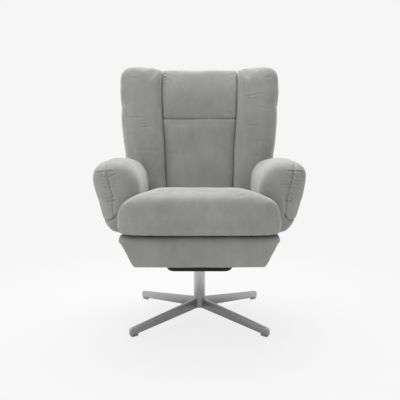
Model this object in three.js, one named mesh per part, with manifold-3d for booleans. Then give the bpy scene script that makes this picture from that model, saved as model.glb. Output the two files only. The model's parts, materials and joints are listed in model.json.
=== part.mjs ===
// Star base swivel recliner: a padded wing chair on a column with four flat steel legs.
// Millimetres, +Z up, the sitter faces -Y, and the origin is on the floor under the column.
// The chair turns on its column, the back reclines, the head section tilts forward, and
// the front panel swings out on folding links as a footrest.

import * as THREE from 'three';
import { mergeVertices } from 'three/addons/utils/BufferGeometryUtils.js';
import Module from 'manifold-3d';

const wasm = await Module();
wasm.setup();

// Clearances and cuts
const seatGap = 0.3;
const pinClearance = 0.4;
const cutReach = 1200;
const mergeDistance = 0.001;
const roundSides = 32;
const pinSides = 16;

// Column and star base
const columnRadius = 22.5;
const columnWall = 2;
const columnBottom = 38;
const columnTop = 285;
const columnFloor = 5;
const legReach = 353.6;
const legThickness = 12;
const legDepth = 40;
const legTipBottom = 5.3;
const legTipTop = 33;
const legTipRadius = 9;
const glideLength = 26;
const glideInset = 2;

// Swivel bearing
const spindleRadius = 14;
const spindleBottom = 54.3;
const bushLength = 32;
const washerRadius = 32;
const retainerRadius = 18;
const retainerThickness = 4;
const swivelPlateWidth = 220;
const swivelPlateDepth = 220;
const swivelPlateThickness = 6;
const swivelPlateRise = 9;

// Seat chassis
const railTop = 389.4;
const railDepth = 50;
const railInnerX = 184;
const railWidth = 30;
const railFront = -255;
const railRear = 225;
const tubeWall = 2.5;
const frontCrossFront = -222;
const frontCrossRear = -170;
const rearCrossFront = 95;
const rearCrossRear = 145;
const swivelBeamOffset = 80;
const swivelBeamWidth = 40;
const frontBoardFront = -312;
const frontBoardRear = -204;
const deckInsideRail = 6;

// Seat springs and the felt over them
const springWire = 4;
const springCount = 4;
const springPitchX = 92;
const springSwing = 22;
const springWaves = 8;
const springFront = -196;
const springRear = 118;
const springStepsPerWave = 6;
const springSides = 6;
const feltRear = 93;

// Seat cushion
const cushionBottom = 400;
const cushionHeight = 141;
const cushionWaist = 31;
const cushionUnder = 90;
const cushionFront = -388;
const cushionRearReach = 112;
const cushionHalfWidth = 286;
const cushionTongueHalfWidth = 203;
const cushionTongueFront = -289;
const cushionRear = 94;
const cushionFallBack = 0.08;
const cushionPlanPower = 7;
const cushionSectionPower = 2.6;
const cushionCornerRadius = 14;
const cushionCrestY = -235;

// Arms
const armInnerX = 207;
const armWidth = 170;
const armBottom = 384;
const armHeight = 254;
const armFront = -286;
const armRear = 88;
const armFacingDepth = 96;
const armBoardInner = 236.3;
const armBoardThickness = 17.4;
const armBoardTop = 600;
const armBoardFront = -236;
const armBoardRear = 66;
const armBoardCorner = 40;
const armBlockFront = -200;
const armBlockRear = 150;
const armBlockTop = 378;

// Body panels under the seat
const bodyBottom = 282;
const bodyTop = 383.7;
const bodyRear = 262;
const rearPanelThickness = 12;
const coverThickness = 4;
const coverHoleHalfWidth = 110;
const coverHoleHalfDepth = 100;
const panelLedge = 336;
const panelInnerBottom = 217;

// Half widths of the tapered body at heights above its bottom
const bodyTaper = [
  [0, 228],
  [6, 231],
  [19, 240],
  [33, 248],
  [47, 257],
  [60, 264],
  [74, 271],
  [88, 274],
  [101.7, 272],
];

// Mechanism tray round the top of the column
const trayBottom = 211;
const trayWall = 3;
const trayTopHalfWidth = 135;
const trayTopHalfDepth = 140;
const trayHoleRadius = 25;
const trayCorner = 22;

// Recline hinge
const reclineY = 225;
const reclineZ = 372;
const hingePlate = 6;
const hingePinRadius = 6;
const hingePinHead = 10;
const pinHeadThickness = 3;

// Back, in its own leaning frame: d runs back from the front of the wings, h runs up it
const backFrontY = 100;
const backBottomZ = 400;
const backLean = THREE.MathUtils.degToRad(14);
const backDepth = 118;
const rearCoverDepth = 25;
const centreSetBack = 27;
const centreDepth = 48;
const coverInset = 5;
const coverHem = 75;
const backTop = 643;
const wingTopDip = 13;
const uprightInnerX = 169;
const uprightThickness = 8;
const uprightD = 98;
const uprightHalfWidth = 16;
const uprightElbowH = 64;
const kneeBelowHeadAxis = 79;
const backRailHeight = 44;
const lowerRailH = 48;
const upperRailBelowHeadAxis = 129;
const backBoardThickness = 4;
const backBoardBelowHeadAxis = 71;
const seamGap = 1.2;

// Heights up the back with the half widths of the seam and of the outer edge there
const wingProfile = [
  [-14, 136, 290],
  [120, 141, 298],
  [241, 146, 308],
  [333, 150, 320],
  [400, 152.5, 328],
  [443, 154, 331],
  [466, 155, 327],
  [490, 155.5, 332],
  [530, 157, 338],
  [570, 157, 337],
];

// Head section
const headAxisD = 59;
const headAxisH = 441;
const wingBallRadius = 66;
const pillowBallRadius = 55;
const pillowFront = 13;
const pillowTop = 632;
const rollTop = 631;
const headPinRadius = 5;
const headLugRadius = 14;
const headLugX = 160.5;
const headLugThickness = 8;
const headBoardD = 78;
const headBoardThickness = 3;
const headBoardAboveAxis = 21;
const headBoardTop = 600;
const wingNotchX = 182.5;
const hingePocketD = 40;
const hingePocketBelowAxis = 95;
const hingePocketAboveAxis = 66;

// Footrest
const padRear = -294;
const padFront = -359;
const padRound = 24;
const padEdge = 7;
const padPivotY = -335;
const padPivotZ = 360;
const linkPivotY = -254;
const linkPivotZ = 370;
const elbowY = -269;
const elbowZ = 293;
const linkHalfWidth = 8;
const linkThickness = 6;
const linkPin = 4;
const lowerLinkX = 169;
const upperLinkX = 162;
const syncTubeRadius = 8;
const syncTubeShare = 0.45;
const pocketInnerX = 150;
const pocketOuterX = 181;
const pocketFront = -344;
const pocketBottom = 289;
const pocketLean = 5.5;
const cheekThickness = 4;
const cheekInnerX = 152;
const cheekOuterX = 177;
const cheekBottom = 322;
const cheekTop = 367;
const padBoardThickness = 9;
const padBoardHalfWidth = 226;
const padBoardBottom = 285.5;
const padBoardTop = 372;

// Outline shares: each pair is a share of the width and a share of the height or depth
const armOutlineShares = [
  [0.11, 0.008], [0.30, 0], [0.476, 0.008], [0.606, 0.043], [0.70, 0.126], [0.765, 0.22],
  [0.818, 0.339], [0.882, 0.469], [0.935, 0.602], [0.982, 0.732], [0.994, 0.835],
  [0.953, 0.909], [0.841, 0.965], [0.676, 0.992], [0.488, 1], [0.324, 0.984],
  [0.194, 0.933], [0.10, 0.85], [0.035, 0.74], [0.006, 0.614], [0, 0.457], [0.024, 0.299],
  [0.053, 0.142], [0.07, 0.055],
];
const armCentreShares = [0.32, 0.53];
// Along the facing: depth share, inner width, outer width, upward and downward shares
const armFacingShares = [
  [0, 0.52, 0.46, 0.66, 0.66],
  [0.05, 0.76, 0.64, 0.83, 0.85],
  [0.16, 0.91, 0.79, 0.93, 0.94],
  [0.37, 0.98, 0.91, 0.985, 0.985],
  [0.66, 1, 0.98, 1, 1],
  [1, 1, 1, 1, 1],
];
const armBackShares = [
  [0.5, 1],
  [0.93, 0.985],
  [0.985, 0.95],
  [1, 0.88],
];
// Wing section: share across from the seam, share of the depth from the front
const wingSectionShares = [
  [0, 1], [0, 0.24], [0.02, 0.12], [0.08, 0.05], [0.25, 0.012], [0.5, 0], [0.72, 0.02],
  [0.87, 0.09], [0.96, 0.21], [1, 0.38], [1, 0.72], [0.985, 0.91], [0.95, 1],
];
// Top of the wing: height share of the last stretch, outer edge share, seam edge share,
// front and rear shares of the depth
const wingCrownShares = [
  [0.45, 0.985, 0, 0.02, 0.99],
  [0.74, 0.93, 0.01, 0.07, 0.96],
  [0.92, 0.82, 0.05, 0.17, 0.9],
  [1, 0.66, 0.16, 0.31, 0.8],
];
// Centre pads: share of the half width, share of the depth
const centreSectionShares = [
  [-1, 1], [-1, 0.45], [-0.965, 0.24], [-0.86, 0.12], [-0.5, 0.03], [0, 0], [0.5, 0.03],
  [0.86, 0.12], [0.965, 0.24], [1, 0.45], [1, 1],
];
const rearCoverShares = [
  [-1, 0], [1, 0], [0.995, 0.45], [0.96, 0.8], [0.85, 0.94], [0.4, 1], [-0.4, 1],
  [-0.85, 0.94], [-0.96, 0.8], [-0.995, 0.45],
];

const coverHemShare = 0.45;

// Finishes
const fabricColour = { color: 0x8f918a, roughness: 0.9, metalness: 0 };
const steelColour = { color: 0xb0b1b3, roughness: 0.32, metalness: 1 };
const darkSteelColour = { color: 0x2b2d2f, roughness: 0.5, metalness: 0.6 };
const blackColour = { color: 0x1a1b1c, roughness: 0.6, metalness: 0 };
const plywoodColour = { color: 0xb08d5f, roughness: 0.75, metalness: 0 };
const feltColour = { color: 0x77726a, roughness: 1, metalness: 0 };
const bushColour = { color: 0xe4e0d4, roughness: 0.5, metalness: 0 };

// Make a closed geometry into a solid that can be joined and cut
function solidOf(geometry) {
  const bare = geometry.clone();
  bare.deleteAttribute('normal');
  bare.deleteAttribute('uv');
  const merged = mergeVertices(bare, mergeDistance);
  return new wasm.Manifold(new wasm.Mesh({
    numProp: 3,
    vertProperties: Float32Array.from(merged.attributes.position.array),
    triVerts: Uint32Array.from(merged.index.array),
  }));
}

// Make a solid back into a geometry for a mesh
function geometryOf(solid) {
  const mesh = solid.getMesh();
  const geometry = new THREE.BufferGeometry();
  geometry.setAttribute('position', new THREE.BufferAttribute(mesh.vertProperties, 3));
  geometry.setIndex(new THREE.BufferAttribute(mesh.triVerts, 1));
  const flat = geometry.toNonIndexed();
  flat.computeVertexNormals();
  return flat;
}

// Add a named piece to its group
function addPiece(group, name, shape, finish) {
  const geometry = shape.isBufferGeometry ? shape : geometryOf(shape);
  const mesh = new THREE.Mesh(geometry, new THREE.MeshStandardMaterial(finish));
  mesh.name = name;
  group.add(mesh);
  return mesh;
}

// A block between two corners
function block(x0, x1, y0, y1, z0, z1) {
  const geometry = new THREE.BoxGeometry(x1 - x0, y1 - y0, z1 - z0);
  return geometry.translate((x0 + x1) / 2, (y0 + y1) / 2, (z0 + z1) / 2);
}

// A plate lying in Y-Z between two X values, from an outline of [y, z] points
function plateAcrossX(outline, x0, x1) {
  const shape = new THREE.Shape(outline.map(([y, z]) => new THREE.Vector2(y, z)));
  const geometry = new THREE.ExtrudeGeometry(shape, { depth: x1 - x0, bevelEnabled: false });
  const turn = new THREE.Matrix4().set(0, 0, 1, x0, 1, 0, 0, 0, 0, 1, 0, 0, 0, 0, 0, 1);
  return geometry.applyMatrix4(turn);
}

// A prism along Y between two Y values, from an outline of [x, z] points
function prismAlongY(outline, y0, y1) {
  const shape = new THREE.Shape(outline.map(([x, z]) => new THREE.Vector2(x, z)));
  const geometry = new THREE.ExtrudeGeometry(shape, { depth: y1 - y0, bevelEnabled: false });
  return geometry.rotateX(Math.PI / 2).translate(0, y1, 0);
}

// A round bar along X
function barAlongX(y, z, radius, x0, x1, sides = pinSides) {
  const geometry = new THREE.CylinderGeometry(radius, radius, x1 - x0, sides);
  return geometry.rotateZ(Math.PI / 2).translate((x0 + x1) / 2, y, z);
}

// A round bar along Z
function barAlongZ(radius, z0, z1, sides = roundSides) {
  const geometry = new THREE.CylinderGeometry(radius, radius, z1 - z0, sides);
  return geometry.rotateX(Math.PI / 2).translate(0, 0, (z0 + z1) / 2);
}

// A ring about Z: a bar with a bore
function ringAlongZ(outerRadius, boreRadius, z0, z1) {
  const bore = solidOf(barAlongZ(boreRadius, z0 - cutReach, z1 + cutReach));
  return solidOf(barAlongZ(outerRadius, z0, z1)).subtract(bore);
}

// The outline of a flat bar with round ends between two points
function stadium([ay, az], [by, bz], radius, steps = 8) {
  const heading = Math.atan2(bz - az, by - ay);
  const outline = [];
  for (let i = 0; i <= steps; i += 1) {
    const angle = heading - Math.PI / 2 + (Math.PI * i) / steps;
    outline.push([by + radius * Math.cos(angle), bz + radius * Math.sin(angle)]);
  }
  for (let i = 0; i <= steps; i += 1) {
    const angle = heading + Math.PI / 2 + (Math.PI * i) / steps;
    outline.push([ay + radius * Math.cos(angle), az + radius * Math.sin(angle)]);
  }
  return outline;
}

// A bent flat bar through several points of the Y-Z plane
function strap(points, radius, x0, x1) {
  let bar = null;
  for (let i = 0; i + 1 < points.length; i += 1) {
    const piece = solidOf(plateAcrossX(stadium(points[i], points[i + 1], radius), x0, x1));
    bar = bar ? bar.add(piece) : piece;
  }
  return bar;
}

// A rivet: its shank runs from one side face inward and ends in a flat head
function rivet(y, z, radius, headRadius, fromX, toX) {
  const shank = solidOf(barAlongX(y, z, radius, toX, fromX));
  return shank.add(solidOf(barAlongX(y, z, headRadius, toX, toX + pinHeadThickness)));
}

// A skin through matching rings of points, closed at both ends
function loft(rings) {
  const count = rings[0].length;
  const positions = [];
  const index = [];
  rings.forEach((ring) => ring.forEach((point) => positions.push(point.x, point.y, point.z)));
  for (let r = 0; r + 1 < rings.length; r += 1) {
    for (let i = 0; i < count; i += 1) {
      const a = r * count + i;
      const b = r * count + ((i + 1) % count);
      index.push(a, b, a + count, b, b + count, a + count);
    }
  }
  const addCap = (ring, offset, outward) => {
    const centre = ring.reduce((sum, p) => sum.add(p), new THREE.Vector3());
    centre.divideScalar(count);
    const hub = positions.length / 3;
    positions.push(centre.x, centre.y, centre.z);
    for (let i = 0; i < count; i += 1) {
      const a = offset + i;
      const b = offset + ((i + 1) % count);
      if (outward) {
        index.push(a, b, hub);
      } else {
        index.push(b, a, hub);
      }
    }
  };
  addCap(rings[0], 0, false);
  addCap(rings[rings.length - 1], (rings.length - 1) * count, true);
  const geometry = new THREE.BufferGeometry();
  geometry.setAttribute('position', new THREE.Float32BufferAttribute(positions, 3));
  geometry.setIndex(index);
  return geometry;
}

// Turn a closed shape the right way out whichever way its rings ran
function outwardSolid(geometry) {
  const flipped = geometry.clone();
  const order = Array.from(flipped.index.array);
  let volume = 0;
  const p = flipped.attributes.position;
  for (let i = 0; i < order.length; i += 3) {
    const a = new THREE.Vector3().fromBufferAttribute(p, order[i]);
    const b = new THREE.Vector3().fromBufferAttribute(p, order[i + 1]);
    const c = new THREE.Vector3().fromBufferAttribute(p, order[i + 2]);
    volume += a.dot(b.cross(c));
  }
  if (volume < 0) {
    for (let i = 0; i < order.length; i += 3) {
      [order[i], order[i + 1]] = [order[i + 1], order[i]];
    }
    flipped.setIndex(order);
  }
  return solidOf(flipped);
}

// Value between the rows of a table, by its first column
function between(table, at, column) {
  let i = 0;
  while (i + 2 < table.length && table[i + 1][0] < at) {
    i += 1;
  }
  const [low, high] = [table[i], table[i + 1]];
  const share = THREE.MathUtils.clamp((at - low[0]) / (high[0] - low[0]), 0, 1);
  return THREE.MathUtils.lerp(low[column], high[column], share);
}

// Mirror a solid to the other side of the chair
function mirrored(solid) {
  return solid.mirror([1, 0, 0]);
}

// Add a piece and its mirror image as the right and left ones
function addPair(group, name, solid, finish) {
  addPiece(group, `${name}_right`, solid, finish);
  addPiece(group, `${name}_left`, mirrored(solid), finish);
}

const chair = new THREE.Group();
const baseGroup = new THREE.Group();
const seatGroup = new THREE.Group();
const footrestGroup = new THREE.Group();
const backGroup = new THREE.Group();
backGroup.position.set(0, backFrontY, backBottomZ);
backGroup.rotation.x = -backLean;
chair.add(baseGroup, seatGroup, footrestGroup, backGroup);

// Column: a tube closed at the bottom
const boreRadius = columnRadius - columnWall;
const columnBore = solidOf(
  barAlongZ(boreRadius, columnBottom + columnFloor, columnTop + cutReach),
);
const column = solidOf(barAlongZ(columnRadius, columnBottom, columnTop)).subtract(columnBore);
addPiece(baseGroup, 'base_column', column, steelColour);

// Four flat bars welded to the column, each a deep blade that slims toward its tip
const hubTop = columnBottom + legDepth;
const legSide = new THREE.Shape();
legSide.moveTo(0, columnBottom);
legSide.lineTo(legReach - legTipRadius / 2, legTipBottom);
legSide.lineTo(legReach, legTipBottom + legTipRadius / 2);
legSide.lineTo(legReach, legTipTop - legTipRadius);
legSide.quadraticCurveTo(legReach, legTipTop, legReach - legTipRadius, legTipTop);
legSide.lineTo(0, hubTop);
const legBar = new THREE.ExtrudeGeometry(legSide, {
  depth: legThickness, bevelEnabled: false, curveSegments: 4,
});
legBar.rotateX(Math.PI / 2).translate(0, legThickness / 2, 0);
const columnSeat = solidOf(barAlongZ(columnRadius + seatGap, 0, cutReach));
const leg = solidOf(legBar).subtract(columnSeat);
const legNames = ['rear_right', 'rear_left', 'front_left', 'front_right'];
legNames.forEach((name, i) => {
  const piece = addPiece(baseGroup, `base_leg_${name}`, leg, steelColour);
  piece.rotation.z = Math.PI / 4 + (i * Math.PI) / 2;
});

// Glides under the tips, their tops sloped like the bars
const legSlope = (columnBottom - legTipBottom) / (legReach - legTipRadius / 2);
const glideOuter = legReach - legTipRadius / 2 - glideInset;
const glideInner = glideOuter - glideLength;
const underLeg = (r) => columnBottom - r * legSlope - seatGap;
const glideOutline = [
  [glideInner, 0],
  [glideOuter, 0],
  [glideOuter, underLeg(glideOuter)],
  [glideInner, underLeg(glideInner)],
];
const glide = prismAlongY(glideOutline, -legThickness / 2, legThickness / 2);
legNames.forEach((name, i) => {
  const piece = addPiece(baseGroup, `glide_${name}`, glide.clone(), blackColour);
  piece.rotation.z = Math.PI / 4 + (i * Math.PI) / 2;
});

// Bearing bushes in the column and the washer that carries the seat
const bushRadius = boreRadius - seatGap;
const bushBore = spindleRadius + pinClearance;
const lowerBush = ringAlongZ(bushRadius, bushBore, spindleBottom, spindleBottom + bushLength);
addPiece(baseGroup, 'lower_bearing_bush', lowerBush, bushColour);
const upperBush = ringAlongZ(bushRadius, bushBore, columnTop - bushLength, columnTop);
addPiece(baseGroup, 'upper_bearing_bush', upperBush, bushColour);
const swivelPlateBottom = columnTop + swivelPlateRise;
const washer = ringAlongZ(
  washerRadius, bushBore, columnTop + seatGap, swivelPlateBottom - seatGap,
);
addPiece(baseGroup, 'thrust_washer', washer, bushColour);

// Swivel plate with its spindle, which turns in the bushes
const swivelPlateTop = swivelPlateBottom + swivelPlateThickness;
const swivelPlate = solidOf(block(
  -swivelPlateWidth / 2, swivelPlateWidth / 2,
  -swivelPlateDepth / 2, swivelPlateDepth / 2,
  swivelPlateBottom, swivelPlateTop,
));
const spindle = solidOf(barAlongZ(spindleRadius, spindleBottom, swivelPlateTop));
addPiece(seatGroup, 'swivel_plate_spindle', swivelPlate.add(spindle), darkSteelColour);
const retainerTop = spindleBottom - seatGap;
const retainer = solidOf(
  barAlongZ(retainerRadius, retainerTop - retainerThickness, retainerTop),
);
addPiece(seatGroup, 'spindle_retainer', retainer, darkSteelColour);

// Side rails and cross rails: rectangular steel tubes
const railBottom = railTop - railDepth;
const sideRail = solidOf(block(
  railInnerX, railInnerX + railWidth, railFront, railRear, railBottom, railTop,
)).subtract(solidOf(block(
  railInnerX + tubeWall, railInnerX + railWidth - tubeWall,
  railFront - cutReach, railRear + cutReach,
  railBottom + tubeWall, railTop - tubeWall,
)));
addPair(seatGroup, 'side_rail', sideRail, darkSteelColour);

function crossTube(halfLength, y0, y1, z0, z1) {
  const outside = solidOf(block(-halfLength, halfLength, y0, y1, z0, z1));
  const inside = solidOf(block(
    -halfLength - cutReach, halfLength + cutReach,
    y0 + tubeWall, y1 - tubeWall, z0 + tubeWall, z1 - tubeWall,
  ));
  return outside.subtract(inside);
}

const crossHalf = railInnerX - seatGap;
const frontCross = crossTube(crossHalf, frontCrossFront, frontCrossRear, railBottom, railTop);
addPiece(seatGroup, 'front_cross_rail', frontCross, darkSteelColour);
const rearCross = crossTube(crossHalf, rearCrossFront, rearCrossRear, railBottom, railTop);
addPiece(seatGroup, 'rear_cross_rail', rearCross, darkSteelColour);
const beamHalf = railInnerX + railWidth;
const beamNames = ['front', 'rear'];
beamNames.forEach((name, i) => {
  const y = i === 0 ? -swivelBeamOffset : swivelBeamOffset;
  const beam = crossTube(
    beamHalf, y - swivelBeamWidth / 2, y + swivelBeamWidth / 2,
    swivelPlateTop + seatGap, railBottom - seatGap,
  );
  addPiece(seatGroup, `swivel_beam_${name}`, beam, darkSteelColour);
});

// Seat deck: a board over the links, snake springs and the felt over them
const deckBottom = railTop + seatGap;
const deckTop = cushionBottom - seatGap;
const deckHalfWidth = railInnerX + railWidth - deckInsideRail;
const frontBoard = block(
  -deckHalfWidth, deckHalfWidth, frontBoardFront, frontBoardRear, deckBottom, deckTop,
);
addPiece(seatGroup, 'seat_front_board', frontBoard, plywoodColour);
const springZ = deckBottom + springWire / 2;

function snakeSpring(x) {
  const steps = springWaves * springStepsPerWave;
  const points = [];
  for (let i = 0; i <= steps; i += 1) {
    const along = i / steps;
    const ends = Math.min(1, (along * steps) / 3, ((1 - along) * steps) / 3);
    const swing = springSwing * ends * Math.sin(along * springWaves * 2 * Math.PI);
    const y = THREE.MathUtils.lerp(springFront, springRear, along);
    points.push(new THREE.Vector3(x + swing, y, springZ));
  }
  const wire = new THREE.Shape();
  for (let i = 0; i < springSides; i += 1) {
    const angle = (2 * Math.PI * i) / springSides;
    const u = (springWire / 2) * Math.cos(angle);
    const v = (springWire / 2) * Math.sin(angle);
    if (i === 0) {
      wire.moveTo(u, v);
    } else {
      wire.lineTo(u, v);
    }
  }
  const path = new THREE.CatmullRomCurve3(points);
  return new THREE.ExtrudeGeometry(wire, { steps, extrudePath: path, bevelEnabled: false });
}

for (let i = 0; i < springCount; i += 1) {
  const x = (i - (springCount - 1) / 2) * springPitchX;
  addPiece(seatGroup, `seat_spring_${i + 1}`, snakeSpring(x), darkSteelColour);
}
const felt = block(
  -deckHalfWidth, deckHalfWidth, frontBoardRear + seatGap, feltRear,
  deckBottom + springWire + seatGap, deckTop,
);
addPiece(seatGroup, 'seat_felt', felt, feltColour);

// A soft body: a cube drawn in to a rounded form with its own plan and section powers
function softBody(halfX, halfY, up, down, planPower, sectionPower, segments) {
  const cube = new THREE.BoxGeometry(2, 2, 2, ...segments);
  const p = cube.attributes.position;
  const ease = (t) => 0.35 * t + 0.65 * Math.sin((t * Math.PI) / 2);
  for (let i = 0; i < p.count; i += 1) {
    const u = ease(p.getX(i));
    const v = ease(p.getY(i));
    const w = ease(p.getZ(i));
    const plan = (Math.abs(u) ** planPower + Math.abs(v) ** planPower) ** (1 / planPower);
    const size = (plan ** sectionPower + Math.abs(w) ** sectionPower) ** (1 / sectionPower);
    const height = w > 0 ? up : down;
    p.setXYZ(i, (halfX * u) / size, (halfY * v) / size, (height * w) / size);
  }
  return cube;
}

// Seat cushion: a full crown with a rolled front, wide before the arms and narrow between
const cushionHalfDepth = (cushionRearReach - cushionFront) / 2;
const cushionMidY = (cushionRearReach + cushionFront) / 2;
const cushionUp = cushionHeight - cushionWaist;
const crown = softBody(
  cushionHalfWidth, cushionHalfDepth, cushionUp, cushionUnder,
  cushionPlanPower, cushionSectionPower, [14, 12, 6],
);
crown.translate(0, cushionMidY, cushionBottom + cushionWaist);
const crownPoints = crown.attributes.position;
for (let i = 0; i < crownPoints.count; i += 1) {
  const z = crownPoints.getZ(i);
  const lift = Math.max(0, z - cushionBottom - cushionWaist) / cushionUp;
  const fall = cushionFallBack * lift * (crownPoints.getY(i) - cushionCrestY);
  crownPoints.setZ(i, z - fall);
}
const tongue = new THREE.Shape();
const cornerX = cushionTongueHalfWidth;
tongue.moveTo(-cutReach, -cutReach);
tongue.lineTo(cutReach, -cutReach);
tongue.lineTo(cutReach, cushionTongueFront);
tongue.lineTo(cornerX + cushionCornerRadius, cushionTongueFront);
tongue.quadraticCurveTo(
  cornerX, cushionTongueFront, cornerX, cushionTongueFront + cushionCornerRadius,
);
tongue.lineTo(cornerX, cutReach);
tongue.lineTo(-cornerX, cutReach);
tongue.lineTo(-cornerX, cushionTongueFront + cushionCornerRadius);
tongue.quadraticCurveTo(
  -cornerX, cushionTongueFront, -cornerX - cushionCornerRadius, cushionTongueFront,
);
tongue.lineTo(-cutReach, cushionTongueFront);
const tonguePrism = new THREE.ExtrudeGeometry(tongue, {
  depth: cutReach, bevelEnabled: false, curveSegments: 3,
});
tonguePrism.translate(0, 0, cushionBottom);
const rearSlant = Math.tan(backLean);
const cushionBackCut = plateAcrossX([
  [cushionRear, cushionBottom],
  [cushionRear + cutReach * rearSlant, cushionBottom + cutReach],
  [cutReach + cutReach, cushionBottom + cutReach],
  [cutReach + cutReach, cushionBottom],
], -cutReach, cutReach);
const seatCushion = solidOf(crown)
  .intersect(solidOf(tonguePrism))
  .subtract(solidOf(cushionBackCut));
addPiece(seatGroup, 'seat_cushion', seatCushion, fabricColour);

// Arm frames: a board in each arm on a block that is bolted to the side rail
const armBoardOuter = armBoardInner + armBoardThickness;
const armBoardLow = solidOf(block(
  armBoardInner, armBoardOuter, armBlockFront, armBlockRear, railBottom, armBlockTop,
));
const armBoardOutline = [
  [armBoardFront, railBottom],
  [armBoardRear, railBottom],
  [armBoardRear, armBoardTop - armBoardCorner],
  [armBoardRear - armBoardCorner, armBoardTop],
  [armBoardFront + armBoardCorner, armBoardTop],
  [armBoardFront, armBoardTop - armBoardCorner],
];
const armBoardHigh = solidOf(plateAcrossX(armBoardOutline, armBoardInner, armBoardOuter));
const armBlock = solidOf(block(
  beamHalf + seatGap, armBoardInner + tubeWall,
  armBlockFront, armBlockRear, railBottom, armBlockTop,
));
const armBoard = armBoardHigh.add(armBoardLow).add(armBlock);
addPair(seatGroup, 'arm_board', armBoard, plywoodColour);

// Arm pads: a pear section that rolls outward, with a rounded facing in front
const armCentreX = armInnerX + armWidth * armCentreShares[0];
const armCentreZ = armBottom + armHeight * armCentreShares[1];

function armRing(y, inner, outer, up, down, slant) {
  return armOutlineShares.map(([across, high]) => {
    const x = armInnerX + armWidth * across - armCentreX;
    const z = armBottom + armHeight * high - armCentreZ;
    const px = armCentreX + x * (x < 0 ? inner : outer);
    const pz = armCentreZ + z * (z < 0 ? down : up);
    return new THREE.Vector3(px, y + slant * (pz - cushionBottom), pz);
  });
}

const armRings = armFacingShares.map(([along, inner, outer, up, down]) => (
  armRing(armFront + along * armFacingDepth, inner, outer, up, down, 0)
));
armBackShares.forEach(([along, size]) => {
  const y = THREE.MathUtils.lerp(armFront + armFacingDepth, armRear, along);
  armRings.push(armRing(y, size, size, size, size, rearSlant * along));
});
const armSlot = solidOf(block(
  armBoardInner - seatGap, armBoardOuter + seatGap,
  armBoardFront - seatGap, armBoardRear + seatGap,
  railBottom, armBoardTop + seatGap,
));
const armPad = outwardSolid(loft(armRings)).subtract(armSlot);
addPair(seatGroup, 'arm_pad', armPad, fabricColour);

// Tapered body panels under the arms and behind the seat
const bodyOutline = bodyTaper.map(([rise, halfWidth]) => [halfWidth, bodyBottom + rise]);
const sidePanelOutline = [
  ...bodyOutline,
  [armBoardOuter + 2 * seatGap, bodyTop],
  [armBoardOuter + 2 * seatGap, panelLedge],
  [panelInnerBottom, bodyBottom],
];
const sidePanel = solidOf(prismAlongY(sidePanelOutline, padRear + seatGap, bodyRear));
addPair(seatGroup, 'side_panel', sidePanel, fabricColour);
const rearPanelHalf = armBoardOuter;
const rearPanelOutline = [
  [-panelInnerBottom + 2 * seatGap, bodyBottom],
  [panelInnerBottom - 2 * seatGap, bodyBottom],
  [rearPanelHalf, panelLedge],
  [rearPanelHalf, bodyTop],
  [-rearPanelHalf, bodyTop],
  [-rearPanelHalf, panelLedge],
];
const rearPanelFront = bodyRear - rearPanelThickness;
const rearPanel = prismAlongY(rearPanelOutline, rearPanelFront, bodyRear);
addPiece(seatGroup, 'rear_panel', rearPanel, fabricColour);

// Underside cover with its opening for the swivel
const coverHalf = panelInnerBottom - 2 * seatGap;
const underCover = solidOf(block(
  -coverHalf, coverHalf, linkPivotY + 2 * linkHalfWidth, rearPanelFront - seatGap,
  bodyBottom, bodyBottom + coverThickness,
)).subtract(solidOf(block(
  -coverHoleHalfWidth, coverHoleHalfWidth, -coverHoleHalfDepth, coverHoleHalfDepth,
  bodyBottom - cutReach, bodyBottom + cutReach,
)));
addPiece(seatGroup, 'underside_cover', underCover, blackColour);

// Mechanism tray: a moulded open pan round the top of the column
function roundedRectangle(halfX, halfY, radius, z, steps = 4) {
  const ring = [];
  const corners = [[1, 1, 0], [-1, 1, 1], [-1, -1, 2], [1, -1, 3]];
  corners.forEach(([sx, sy, quarter]) => {
    for (let i = 0; i <= steps; i += 1) {
      const angle = (Math.PI / 2) * (quarter + i / steps);
      ring.push(new THREE.Vector3(
        sx * (halfX - radius) + radius * Math.cos(angle),
        sy * (halfY - radius) + radius * Math.sin(angle),
        z,
      ));
    }
  });
  return ring;
}

const trayTop = bodyBottom - seatGap;
const trayHeight = trayTop - trayBottom;
const trayStepShares = [[0, 0.85], [0.05, 0.885], [0.24, 0.945], [1, 1]];

function trayBody(inset, lift) {
  return outwardSolid(loft(trayStepShares.map(([rise, width]) => roundedRectangle(
    trayTopHalfWidth * width - inset,
    trayTopHalfDepth * width - inset,
    trayCorner - inset,
    trayBottom + lift + rise * trayHeight,
  ))));
}

const tray = trayBody(0, 0)
  .subtract(trayBody(trayWall, trayWall))
  .subtract(solidOf(barAlongZ(trayHoleRadius, 0, cutReach)));
addPiece(seatGroup, 'mechanism_tray', tray, blackColour);

// Recline brackets on the side rails, each with the rivet that its upright turns on
const bracketOuterX = railInnerX - seatGap;
const bracketInnerX = bracketOuterX - hingePlate;
const reclinePlate = strap(
  [[reclineY, reclineZ], [reclineY - 2 * hingePinHead - hingePlate, reclineZ]],
  railTop - reclineZ, bracketInnerX, bracketOuterX,
);
const reclineBracket = reclinePlate.add(rivet(
  reclineY, reclineZ, hingePinRadius, hingePinHead,
  bracketInnerX, uprightInnerX - pinClearance - pinHeadThickness,
));
addPair(seatGroup, 'recline_bracket', reclineBracket, darkSteelColour);

// Footrest pivot brackets on the side rails
const footPlate = strap(
  [[linkPivotY, linkPivotZ], [frontCrossFront - hingePinHead - seatGap, linkPivotZ]],
  hingePinHead, bracketInnerX, bracketOuterX,
);
const footBracket = footPlate.add(rivet(
  linkPivotY, linkPivotZ, linkPin, linkHalfWidth,
  bracketInnerX, lowerLinkX - pinClearance - pinHeadThickness,
));
addPair(seatGroup, 'footrest_bracket', footBracket, darkSteelColour);

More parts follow.
